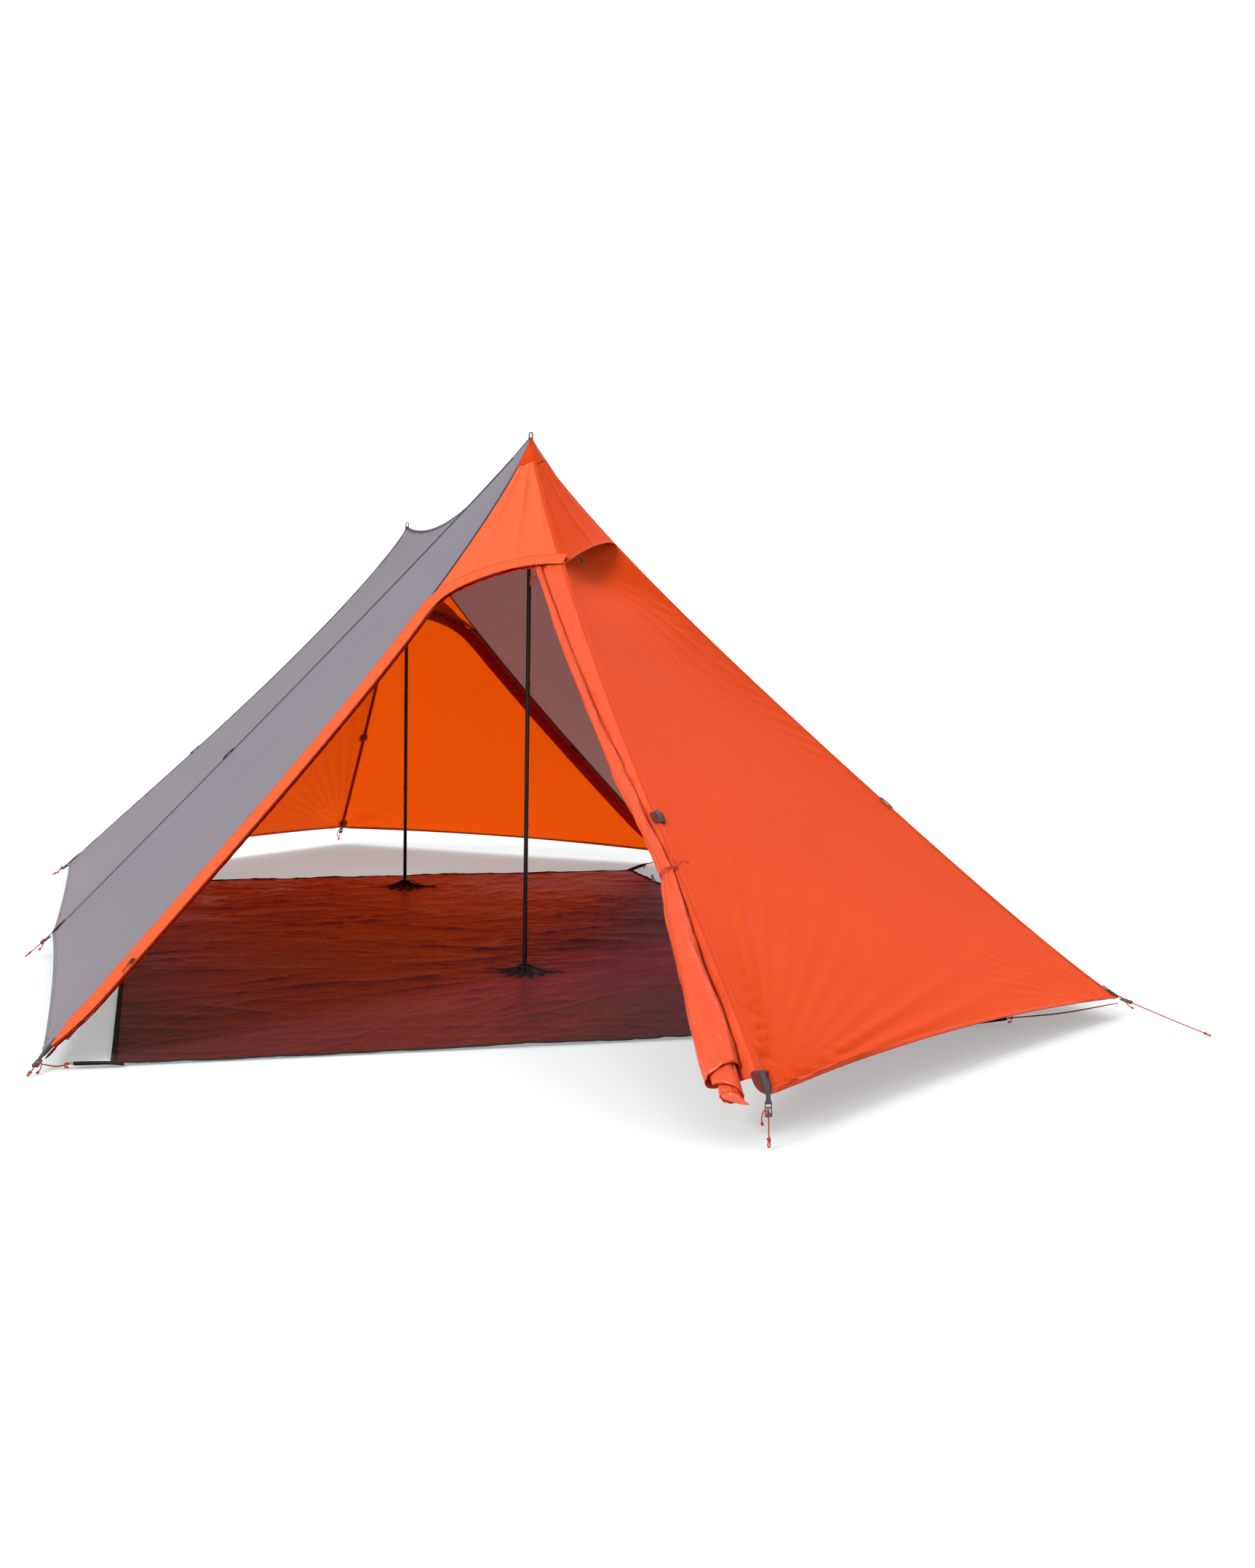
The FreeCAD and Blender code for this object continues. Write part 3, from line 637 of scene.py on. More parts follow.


# The hood, door roll, door band and foot-end oranges are lit copies of one orange, with painted light tuned to how
# each place looks from the camera; the ground sheet's far colour is painted light too. The real cloth is probably
# one orange, and the real sheet one colour.
ORANGE = (0.82, 0.070, 0.006)
THREAD = (0.50, 0.09, 0.05)
MATERIAL = {
    "orange": fabric("orange_cloth", ORANGE, (1.0, 0.17, 0.012), clear=0.34),
    # The foot end's orange is a brighter copy of the same cloth that lets more light through: painted backlight
    # for the foot walls seen from inside.
    "inner_orange": fabric("orange_cloth_foot_painted_backlight", (0.94, 0.105, 0.002), (1.0, 0.185, 0.001), clear=0.78,
                           gloss=0.06),
    # The hood's orange is a lighter, glossier copy of the orange: painted light where the hood faces the key lamp.
    "hood": fabric("orange_cloth_hood_painted_light", (0.97, 0.135, 0.040), (1.0, 0.26, 0.05), clear=0.22, gloss=0.35),
    # The rolled door's orange is a lighter, pinker copy of the orange: painted light and highlights on the roll.
    "door": fabric("orange_cloth_door_painted_light", (0.95, 0.105, 0.030), (1.0, 0.03, 0.004), clear=0.26, rough=0.30,
                   crinkle=0.8, gloss=0.60),
    "seam_orange": fabric("orange_seam", (0.74, 0.068, 0.014), (0.8, 0.08, 0.01), clear=0.20,
                          stitches=(-0.0045, 0.0045), thread=THREAD),
    "hem_orange": fabric("orange_hem", (0.70, 0.062, 0.012), (0.9, 0.10, 0.01), clear=0.18,
                         stitches=(-0.004, 0.002), thread=THREAD),
    # The head's door band is a lighter copy of the orange, like the hood's: painted light.
    "band_orange_painted_light": fabric("orange_band_painted_light", (0.97, 0.140, 0.045), (1.0, 0.14, 0.01), clear=0.24,
                          crinkle=0.5, stitches=(0.004, 0.0315, 0.034), thread=THREAD),
    "grey": fabric("grey_cloth", (0.290, 0.292, 0.345), (0.95, 0.46, 0.42), clear=0.40, vary=0.05,
                   rough=0.50, gloss=0.65),
    "seam_grey": fabric("grey_seam", (0.075, 0.07, 0.085), (0.1, 0.1, 0.1), clear=0.04,
                        stitches=(-0.0025, 0.0025), thread=(0.03, 0.03, 0.03)),
    "hem_grey": fabric("grey_hem", (0.21, 0.21, 0.245), (0.3, 0.3, 0.3), clear=0.15,
                       stitches=(-0.004, 0.002), thread=(0.08, 0.08, 0.08)),
    "red": fabric("red_flap", (0.80, 0.004, 0.001), (1.0, 0.004, 0.0), clear=0.55, rough=0.5, gloss=0.05),
    "bright_red": fabric("red_edge", (1.0, 0.012, 0.004), (1.0, 0.012, 0.0), clear=0.5, rough=0.5),
    "patch": woven("patch_cloth", (0.17, 0.030, 0.022), step=0.0012),
    # The ground sheet's far colour is painted light, the red glow through the foot walls; its own colour is the
    # base.
    "floor": fabric("floor_cloth", (0.090, 0.018, 0.021), (0.05, 0.02, 0.01), clear=0.03,
                    rough=0.30, crinkle=0.9, vary=0.18, gloss=0.40, far=(0.42, 0.013, 0.060)),
    "boot": fabric("boot_cloth", (0.030, 0.018, 0.017), (0.02, 0.01, 0.01), clear=0.02, rough=0.40),
    "floor_strap": woven("floor_webbing_weave", (0.022, 0.018, 0.018), step=0.0017),
    "binding": woven("floor_binding", (0.035, 0.020, 0.018), step=0.002),
    "webbing": woven("grey_webbing", (0.075, 0.075, 0.082), step=0.0017),
    "cord": cord_material("red_cord", (0.52, 0.036, 0.018)),
    "dark_cord": cord_material("dark_cord", (0.10, 0.03, 0.025)),
    "zip_tape": woven("zip_tape", (0.16, 0.012, 0.008), step=0.0009),
    "lock": hard("grey_plastic", (0.060, 0.056, 0.055), 0.55),
    "black": hard("black_plastic", (0.010, 0.010, 0.011), 0.62, wear=0.02),
    "strut": hard("strut_plastic", (0.004, 0.004, 0.004), 0.90, wear=0.0),
    "pole": hard("pole_metal", (0.024, 0.018, 0.016), 0.36, metal=0.35, grain=900, bump=0.05),
    "tube": hard("inner_tube_metal", (0.05, 0.046, 0.045), 0.32, metal=0.7, grain=900, bump=0.05),
    "steel": hard("pin_steel", (0.46, 0.46, 0.47), 0.30, metal=1.0, grain=900, bump=0.08),
    "rubber": hard("shoe_rubber", (0.02, 0.02, 0.02), 0.70, grain=400, bump=0.3),
    "zip_metal": hard("zip_slider", (0.10, 0.02, 0.016), 0.35, metal=0.4),
}

# ---- More mesh builders -----------------------------------------------------------------
def frames_along(points, closed=False):
    """Return steady sideways and upward directions along a path, and its running length."""
    points = np.asarray(points, float)
    steps = np.roll(points, -1, 0) - points
    if not closed:
        steps[-1] = points[-1] - points[-2]
    tangents = directions(steps)
    if closed:
        tangents = directions(tangents + np.roll(tangents, 1, 0))
    side = np.cross(tangents[0], UP if abs(tangents[0][2]) < 0.9 else np.array([1.0, 0, 0]))
    sides = []
    for tangent in tangents:
        side = unit(side - tangent * (side @ tangent))
        sides.append(side)
    sides = np.array(sides)
    return sides, np.cross(sides, tangents), running_length(points)


def end_caps(count, sides):
    """Return the two faces that close a tube of so many points, with so many around it."""
    return [tuple(range(sides)), tuple(range(count - 1, count - 1 - sides, -1))]


def tube(name, points, radius, material, sides=12, closed=False):
    """Return a round cord or tube along a path, with closed ends."""
    points = np.asarray(points, float)
    across, up, run = frames_along(points, closed)
    angle = turns(sides)
    ring = np.cos(angle)[None, :, None] * across[:, None] + np.sin(angle)[None, :, None] * up[:, None]
    verts = (points[:, None] + ring * radius).reshape(-1, 3)
    faces = grid_faces(len(points), sides, wrap=True)
    uv = np.stack(np.broadcast_arrays(angle[None, :] / (2 * math.pi), run[:, None]), -1)
    if closed:
        last = (len(points) - 1) * sides
        faces += [(last + j, last + (j + 1) % sides, (j + 1) % sides, j) for j in range(sides)]
    else:
        faces += end_caps(len(verts), sides)
    return make_object(name, verts, faces, material, uv=uv.reshape(-1, 2))


def bend_through(points, count=40):
    """Return a smooth path through a few points."""
    points = [np.asarray(p, float) for p in points]
    ends = [2 * points[0] - points[1]] + points + [2 * points[-1] - points[-2]]
    per_span = max(2, count // (len(points) - 1))
    path = []
    for a, b, c, d in zip(ends, ends[1:], ends[2:], ends[3:]):
        for k in range(per_span):
            f = k / per_span
            path.append(0.5 * (2 * b + (c - a) * f + (2 * a - 5 * b + 4 * c - d) * f ** 2
                               + (3 * b - a - 3 * c + d) * f ** 3))
    return np.array(path + [points[-1]])


def ribbon(name, points, width_dirs, width, thickness, material):
    """Return a flat woven strap along a path."""
    points = np.asarray(points, float)
    width_dirs = np.broadcast_to(np.asarray(width_dirs, float), points.shape)
    normals = directions(np.cross(np.gradient(points, axis=0), width_dirs))
    run = running_length(points)
    halves, thick = np.broadcast_to(width, run.shape) / 2, thickness / 2
    outline = [(-1, -0.5), (-0.9, -1), (0, -1.1), (0.9, -1), (1, -0.5),
               (1, 0.5), (0.9, 1), (0, 1.1), (-0.9, 1), (-1, 0.5)]
    verts, uv = [], []
    for p, w, n, r, half in zip(points, width_dirs, normals, run, halves):
        for a, b in outline:
            verts.append(p + w * a * half + n * b * thick)
            uv.append((a * half, r))
    count = len(outline)
    faces = grid_faces(len(points), count, wrap=True) + end_caps(len(verts), count)
    return make_object(name, verts, faces, material, smooth=False, uv=uv)


def rounded(obj, by, segments=2):
    """Round an object's edges."""
    bevel = obj.modifiers.new("bevel", "BEVEL")
    bevel.width, bevel.segments = by, segments
    return obj


def lathe(name, profile, origin, material, axis=UP, sides=40, closed=False):
    """Return a turned part: profile is pairs of radius and height along the axis."""
    axis = unit(np.asarray(axis, float))
    x = unit(np.cross(axis, [0.31, 0.95, 0.05]))
    y = np.cross(axis, x)
    rows = profile + profile[:1] if closed else profile
    verts = [point for r, h in rows for point in circle(np.asarray(origin) + axis * h, x * r, y * r, sides)]
    uv = [(a / (2 * math.pi), h) for r, h in rows for a in turns(sides)]
    faces = grid_faces(len(rows), sides, wrap=True)
    if not closed:
        faces += end_caps(len(verts), sides)
    obj = make_object(name, verts, faces, material, uv=uv)
    if closed:
        weld = obj.modifiers.new("weld", "WELD")
        weld.merge_threshold = 0.000001
    return rounded(obj, 0.0003)


def soft_box(name, low, high, material, round_by=0.0006):
    """Return a box with rounded edges."""
    verts = [(x, y, z) for x in (low[0], high[0]) for y in (low[1], high[1]) for z in (low[2], high[2])]
    faces = [(0, 1, 3, 2), (4, 6, 7, 5), (0, 4, 5, 1), (2, 3, 7, 6), (0, 2, 6, 4), (1, 5, 7, 3)]
    return rounded(make_object(name, verts, faces, material), round_by, 3)


def move_to(obj, origin, x, y, z):
    """Move an object from its own axes to an origin and three directions."""
    turn = Matrix([list(x), list(y), list(z)]).transposed().to_4x4()
    obj.matrix_world = Matrix.Translation(list(origin)) @ turn
    return obj


def knot(name, place, along, size, material, cord=0.00125):
    """Return a small overhand knot around a cord."""
    along = unit(np.asarray(along, float))
    side = unit(np.cross(along, [0.2, 0.3, 0.93]))
    up = np.cross(side, along)
    a = turns(48)
    x = (np.sin(a) + 2 * np.sin(2 * a)) / 3
    y = (np.cos(a) - 2 * np.cos(2 * a)) / 3
    z = -np.sin(3 * a) * 0.45
    points = np.asarray(place) + size * (x[:, None] * along * 1.15 + y[:, None] * side + z[:, None] * up)
    return tube(name, points, cord, material, sides=8, closed=True)


# ---- Canopy -----------------------------------------------------------------------------
ROWS, COLUMNS = 190, 120
HEM_WIDE = 0.013
VENT_LIP_WIDE = 0.012
STRIP_OVERLAP = 0.006                 # how far the closed door reaches under its strip


def spread(limits, free, other):
    """Return values between two limits, each a number or a curve of other."""
    low, high = [f(other) if callable(f) else f + 0 * other for f in limits]
    return low + (high - low) * free


def panel_sheet(name, panel, material, s_range=(0, 1), t_range=(0.0015, 1), size=(ROWS, COLUMNS),
                height=0.0, thickness=0.0006, edge_uv=False):
    """Return the sheet over part of a panel. With edge_uv, its UV follows its lower edge."""
    v, u = np.broadcast_arrays(down(0, 1, size[0]), over(0, 1, size[1]))
    t = spread(t_range, v, u)
    s = spread(s_range, u, t)
    points = panel.at(s, t, height)
    x, y = panel.plane(panel.base(s, t))
    if edge_uv:
        x, y = (0.5 - v) * (t[-1] - t[0]).mean() * panel.length(), s * panel.width(t)
    return sheet(name, points, np.stack([x, y], -1), material, thickness)


def hem(name, panel, material, s_range=(0, 1)):
    """Return the folded and stitched band along a panel's lower edge."""
    start = 1 - HEM_WIDE / panel.length()
    return panel_sheet(name, panel, material, s_range, (start, 1.0), (5, 200),
                       thickness=0.0022, edge_uv=True)


def strip_edge(door):
    """Return a function that gives the s of the door strip's edge, which tapers to the corner."""
    def at(t):
        return STRIP_WIDE * np.clip((0.999 - t) / 0.055, 0.06, 1) / door.width(t)
    return at


def make_sides():
    """Make the grey side panels and their hems."""
    for side in ("left", "right"):
        for part in ("front", "rear"):
            name = "side_" + part + "_" + side
            obj = panel_sheet(name + "_cloth", PANEL[name], MATERIAL["grey"])
            finish_piece(obj, ROOT, "grey_fabric", name)
            finish_piece(hem(name + "_hem", PANEL[name], MATERIAL["hem_grey"]), ROOT, "grey_fabric")


DOOR_SEAM = {"head": "head_left", "foot": "foot_right"}


def make_end(end, cloth):
    """Make one end's wall, hood, door strip and inner flaps."""
    wall, door = PANEL[end + "_wall"], PANEL[end + "_door"]
    arch, flap = PANEL[end + "_arch"], PANEL[end + "_flap"]
    obj = panel_sheet(end + "_wall_cloth", wall, cloth, t_range=(0.06, 1))
    finish_piece(obj, ROOT, "orange_fabric", end + "_wall_panel")
    finish_piece(hem(end + "_wall_hem", wall, MATERIAL["hem_orange"]), ROOT, "orange_fabric")
    # The head's hood uses the lighter, glossier copy of the orange: painted light on the hood.
    hood_cloth = MATERIAL["hood"] if end == "head" else cloth
    strip = panel_sheet("strip", door, hood_cloth, (0, strip_edge(door)),
                        (HOOD_AT_CORNER - 0.02, 0.995), (260, 9), height=0.001)
    pieces = [panel_sheet("arch", arch, hood_cloth, size=(110, 150)),
              panel_sheet("flap", flap, cloth, size=(110, 130)), strip]
    finish_piece(join(end + "_hood_cloth", pieces), ROOT, "orange_fabric", end + "_hood")
    # At the head the band uses the hood's lighter copy of the orange: painted light.
    band_cloth = MATERIAL["band_orange_painted_light"] if end == "head" else cloth
    band = door_band(end + "_door_band", end, (-0.001, 0.036), 0.0062, band_cloth, 0.0014)
    finish_piece(band, ROOT, "orange_fabric")
    lip = 1 - VENT_LIP_WIDE / flap.length()
    vent_lip = panel_sheet(end + "_vent_lip", flap, MATERIAL["hem_orange"], t_range=(lip, 1.002),
                           size=(5, 140), thickness=0.0013, edge_uv=True)
    finish_piece(vent_lip, ROOT, "orange_fabric")
    # Painted shade: a red sheet just behind the vent flap that darkens the gap under it.
    vent_shade_sheet = panel_sheet(end + "_vent_painted_shade", flap, MATERIAL["red"], s_range=(0.05, 0.95),
                         t_range=(0.55, 0.97), size=(40, 60), height=-0.0025)
    finish_piece(vent_shade_sheet, ROOT, "orange_fabric")
    flap_reach, edge_reach, behind = RAIN_FLAP[end]
    red = MATERIAL["bright_red" if end == "head" else "red"]
    guard = door_band(end + "_rain_flap", end, flap_reach, -behind, red, 0.0008)
    finish_piece(guard, ROOT, "orange_fabric")
    edge = door_band(end + "_rain_edge", end, edge_reach, 0.0008 - behind, MATERIAL["bright_red"], 0.0008)
    finish_piece(edge, ROOT, "orange_fabric")


# The flap that covers each zip from inside: how far it and its bright edge reach from the edge of
# the doorway, and how far behind the cloth they hang.
RAIN_FLAP = {"head": ((0.0015, 0.034), (-0.0016, 0.0022), 0.0055),
             "foot": ((-0.024, 0.020), (0.019, 0.031), 0.0130)}


def smooth_path(values, window, rounds=3):
    """Return a path with its corners rounded, keeping its two ends where they are."""
    for _ in range(rounds):
        head = 2 * values[:1] - values[window:0:-1]
        tail = 2 * values[-1:] - values[-2:-window - 2:-1]
        longer = np.concatenate([head, values, tail])
        total = np.cumsum(np.concatenate([0 * longer[:1], longer]), axis=0)
        span = 2 * window + 1
        values = (total[span:] - total[:-span]) / span
    return values


def door_edge(end):
    """Return the line around an end's doorway, and the direction in the cloth beside it."""
    arch, door = PANEL[end + "_arch"], PANEL[end + "_door"]
    start = STRIP_WIDE / float(arch.width(1.0))
    s = np.linspace(0.999, start, 200)
    arched = arch.at(s, 1.0 + 0 * s)
    t = np.linspace(HOOD_AT_CORNER + 0.006, 0.985, 420)
    straight = door.at(strip_edge(door)(t), t)
    above = np.cross(np.gradient(arched, axis=0), door.out)
    above = above * (1 if above[0, 2] > 0 else -1)
    line = np.concatenate([arched, straight])
    side = np.concatenate([directions(above), directions(door.a(t) - door.b(t))])
    run = running_length(line)
    even = np.linspace(0, run[-1], 520)
    line = np.stack([np.interp(even, run, line[:, k]) for k in range(3)], -1)
    side = np.stack([np.interp(even, run, side[:, k]) for k in range(3)], -1)
    window = 12 if end == "head" else 26
    line, side = smooth_path(line, window), smooth_path(side, window + 4)
    return line, directions(side), even


def door_band(name, end, reach, height, material, thickness):
    """Return a band of cloth that follows an end's doorway, between two distances from it."""
    line, side, run = door_edge(end)
    near, far = reach
    out = PANEL[end + "_door"].out
    share = over(0, 1, 9)
    off = near + (far - near) * share
    gathers = np.sin(run * 150 + 3 * np.sin(run * 21)) + 0.6 * np.sin(run * 331 + 2 * np.sin(run * 37))
    ripple = 0.0012 * gathers[:, None] * np.sin(math.pi * share)
    taper = np.clip((run[-1] - run + 0.012) / 0.10, 0.10, 1)[:, None]
    points = line[:, None] + side[:, None] * (off * taper)[..., None] + out * (height + ripple)[..., None]
    uv = np.stack(np.broadcast_arrays(off, run[:, None]), -1)
    return sheet(name, points, uv, material, thickness)


def make_foot_door():
    """Make the closed door at the foot end, with its top under the hood."""
    door = PANEL["foot_door"]

    def top(s):
        return HOOD_AT_CORNER + (HOOD_AT_CENTRE - HOOD_AT_CORNER) * s - 0.07 - 0.06 * hump(s, 0.7, 0.7)

    def side(t):
        return (STRIP_WIDE - STRIP_OVERLAP) / door.width(t)

    # The foot door uses the brighter foot-end copy of the orange: painted backlight.
    obj = panel_sheet("foot_door_cloth", door, MATERIAL["inner_orange"], height=-0.0025,
                      s_range=(side, 0.9995), t_range=(top, 1))
    finish_piece(obj, ROOT, "orange_fabric", "foot_door_panel")
    finish_piece(hem("foot_door_hem", door, MATERIAL["hem_orange"], (0.03, 1)), ROOT, "orange_fabric")


make_sides()
make_end("head", MATERIAL["orange"])
# The foot end uses the brighter copy of the orange: painted backlight.
make_end("foot", MATERIAL["inner_orange"])
make_foot_door()


# ---- Seams, patches and webbing sewn to the canopy ----------------------------------------
SEAM_LENGTH = {name: float(running_length(at(np.linspace(0, 1, 400)))[-1]) for name, at in SEAM.items()}


def tape_crown(across, half):
    """Return how high a folded tape stands over its seam."""
    return 0.0004 + 0.0013 * (1 - (across / half) ** 4)


def seam_tape(name, half, material):
    """Return the folded, twice-stitched tape along a seam."""
    t, across = np.broadcast_arrays(down(0.004, 0.999, 260), over(-half, half, 9))
    points = on_seam(name, across, t, tape_crown(across, half))
    uv = np.stack([across, t * SEAM_LENGTH[name]], -1)
    return sheet("seam_" + name, points, uv, material, 0.0008)


def seam_liner(name):
    """Return the red tape sewn inside the lower half of a centre seam."""
    t, across = np.broadcast_arrays(down(0.47, 0.965, 120), over(-0.006, 0.006, 5))
    points = on_seam(name, across, t, -0.0045)
    return sheet("liner", points, np.stack([across, t], -1), MATERIAL["red"], 0.0008)


def make_seams():
    """Make the tapes over all the seams and over the ridge."""
    look = {"head_left": (0.0035, "seam_grey"), "head_right": (0.006, "seam_orange"),
            "head_centre": (0.0085, "seam_orange"), "mid_left": (0.0045, "seam_grey"),
            "mid_right": (0.0045, "seam_grey"), "foot_left": (0.006, "seam_grey"),
            "foot_right": (0.006, "seam_grey"), "foot_centre": (0.0085, "seam_orange")}
    for name, (half, finish) in look.items():
        slot = "grey_fabric" if finish == "seam_grey" else "orange_fabric"
        finish_piece(seam_tape(name, half, MATERIAL[finish]), ROOT, slot)
    liners = [seam_liner(name) for name in ("head_centre", "foot_centre")]
    finish_piece(join("seam_liners", liners), ROOT, "orange_fabric")

    half = 0.006
    s, across = np.broadcast_arrays(down(0.004, 0.996, 160), over(-half, half, 9))
    left, right = [panel.at(s, np.abs(across) / panel.length())
                   for panel in (PANEL["side_rear_left"], PANEL["side_rear_right"])]
    points = np.where((across < 0)[..., None], left, right)
    points = points + UP * tape_crown(across, half)[..., None]
    run = s * np.linalg.norm(PEAK["foot"] - PEAK["head"])
    tape = sheet("seam_ridge", points, np.stack([across, run], -1), MATERIAL["seam_grey"], 0.0008)
    finish_piece(tape, ROOT, "grey_fabric")


make_seams()


def seam_patch(name, t, half_along, half_across, shift=0.0, height=0.0022, low=False):
    """Return a rounded patch sewn over a seam. With low, it narrows towards the corner."""
    angle, reach = turns(56)[None, :], down(0.001, 1, 9)

    def square(v):
        return np.sign(v) * np.abs(v) ** (2 / 4.5)

    across = reach * square(np.sin(angle)) * half_across
    along = reach * square(np.cos(angle)) * half_along
    if low:
        across = across * (1 - 0.45 * np.clip(along / half_along, 0, 1) ** 2)
    t_values = np.clip(t + along / SEAM_LENGTH[name], 0, 0.9985)
    sink = 1 - 0.5 * reach ** 8 if height > 0 else 1 + 0 * reach
    points = on_seam(name, across + shift, t_values, height * sink)
    uv = np.stack([across + 0 * along, along], -1)
    return sheet("patch", points, uv, MATERIAL["patch"], 0.0012, wrap=True)


def seam_path(name, start, end, height, count):
    """Return a path along a seam at a height, and the seam's sideways directions."""
    t = np.linspace(start, end, count)
    points = on_seam(name, 0 * t, t, height)
    return points, directions(np.cross(UP, np.gradient(points, axis=0)))


def anchor_axes(name):
    """Return a corner cord's pivot, direction, hinge axis and upward direction."""
    pivot, end = pivot_of(name), MOUNT["peg_loop_" + name]
    reach = unit(end - pivot)
    axis = unit(np.cross([reach[0], reach[1], 0], UP))
    return pivot, reach, axis, np.cross(reach, axis) * -1


def make_sewn_parts():
    """Make the patches, pull-out loops and corner webbing of every seam."""
    patches, loops, straps = [], [], []
    for name in CORNER_NAMES:
        length = SEAM_LENGTH[name]
        if name.endswith("centre"):
            patches.append(seam_patch(name, 1 - 0.030 / length, 0.029, 0.023, height=0.0052, low=True))
            patches.append(seam_patch(name, PATCH_MID, 0.023, 0.021, 0.004, height=0.0056))
            lift, loop_height, strap_height, inner = 0.0050, 0.0068, 0.0068, 0.012
        else:
            patches.append(seam_patch(name, 1 - 0.022 / length, 0.021, 0.008, low=True))
            lift, loop_height, strap_height, inner = 0.0022, 0.0026, 0.0042, 0.023
        patches.append(seam_patch(name, 1 - 0.024 / length, 0.020, 0.009, height=-0.0080, low=True))
        patches.append(seam_patch(name, PATCH_MID, 0.023, inner, 0.023 - inner, height=-0.0090))

        span = 0.017 / length
        bump = loop_height + lift * np.sin(np.linspace(0, math.pi, 21)) ** 0.8
        points, across = seam_path(name, PATCH_MID - span, PATCH_MID + span, bump, 21)
        loops.append(ribbon("loop", points, across, 0.010, 0.0013, MATERIAL["webbing"]))
        for t in (PATCH_MID - span, PATCH_MID + span):
            points, across = seam_path(name, t - 0.005 / length, t + 0.005 / length, bump[0] + 0.0004, 6)
            loops.append(ribbon("tack", points, across, 0.0104, 0.0018, MATERIAL["webbing"]))

        pivot, reach, axis, up = anchor_axes(name)
        points, across = seam_path(name, 1 - 0.058 / length, 0.996, strap_height, 14)
        across = across * np.sign(across @ axis)[:, None]
        turn = np.linspace(0.5, -0.45, 12) * math.pi
        round_bar = [pivot + (reach * math.cos(a) + up * math.sin(a)) * 0.0023 for a in turn]
        path = list(points) + round_bar + [pivot - reach * 0.007 - up * 0.0020]
        wide = np.array([*across] + [axis] * (len(path) - len(points)))
        straps.append(ribbon("strap", path, wide, 0.010, 0.0012, MATERIAL["webbing"]))
    finish_piece(join("corner_patches_cloth", patches), ROOT, "patch_fabric", "corner_patches")
    finish_piece(join("pull_out_webbing", loops), ROOT, "grey_webbing", "pull_out_loops")
    finish_piece(join("corner_straps", straps), ROOT, "grey_webbing", "corner_webbing")


make_sewn_parts()


CUP_BELOW_PEAK = 0.062


def make_peaks():
    """Make the doubled cloth, the webbing loop and the cup at each peak."""
    caps, loops, cups = [], [], []
    groups = {"head": (("head_arch", 0.13, "orange"), ("head_flap", 0.16, "orange"),
                       ("side_front_left", 0.035, "grey"), ("side_front_right", 0.035, "grey")),
              # The foot caps use the brighter foot-end copy of the orange: painted backlight.
              "foot": (("foot_arch", 0.13, "inner_orange"), ("foot_flap", 0.16, "inner_orange"))}
    for end, parts in groups.items():
        peak = PEAK[end]
        for panel_name, reach, finish in parts:
            caps.append(panel_sheet("cap", PANEL[panel_name], MATERIAL[finish], t_range=(0.0015, reach),
                                    size=(26, 34), height=0.0014, thickness=0.0009))
        for side in (-1, 1):
            path = bend_through([peak + [side * 0.0052, 0, -0.012], peak + [side * 0.0046, 0, 0.002],
                                 peak + [side * 0.0034, 0, 0.0120], peak + [0, 0, 0.0136]], 18)
            loops.append(ribbon("loop", path, [0, 1, 0], 0.011, 0.0014, MATERIAL["webbing"]))
        low = peak - UP * CUP_BELOW_PEAK
        profile = [(0.0078, 0.0), (0.0105, 0.0), (0.0112, 0.002), (0.0108, 0.020), (0.0090, 0.026),
                   (0.0060, 0.040), (0.0050, 0.050), (0.0008, 0.051), (0.0008, 0.018), (0.0076, 0.018)]
        cups.append(lathe("cup", profile, low, MATERIAL["lock"], closed=True))
    finish_piece(join("peak_cap_cloth", caps), ROOT, "orange_fabric", "peak_caps")
    finish_piece(join("peak_loop_webbing", loops), ROOT, "grey_webbing", "peak_loops")
    finish_piece(join("peak_cup_mouldings", cups), ROOT, "grey_plastic", "peak_cups")


make_peaks()

# ---- The rolled door ----------------------------------------------------------------------
ROLL_START, ROLL_END, ROLL_TIE = 0.168, 0.962, 0.70
ROLL_TURNS = 2.7
ROLL_BEHIND = 0.006                   # from the seam inwards to the middle of the roll
# The roll's radius and its distance from the seam, at places down the seam.
ROLL_AT = [0.16, 0.30, 0.42, 0.55, 0.64, 0.70, 0.76, 0.84, 0.94, 1.0]
ROLL_RADIUS = [0.008, 0.010, 0.013, 0.017, 0.018, 0.016, 0.027, 0.036, 0.041, 0.043]
ROLL_GAP = [0.058, 0.050, 0.040, 0.025, 0.015, 0.009, 0.015, 0.022, 0.026, 0.028]


def roll_axes():
    """Return the roll's direction down the seam, to its left and outwards."""
    along = unit(SEAM["head_centre"](ROLL_END) - SEAM["head_centre"](ROLL_START))
    outward = PANEL["head_door"].out
    aside = unit(np.cross(along, outward))
    return along, aside * (-1 if aside[0] > 0 else 1), outward


def roll_size(t):
    """Return the roll's radius and its gap to the seam at t."""
    return np.interp(t, ROLL_AT, ROLL_RADIUS), np.interp(t, ROLL_AT, ROLL_GAP)


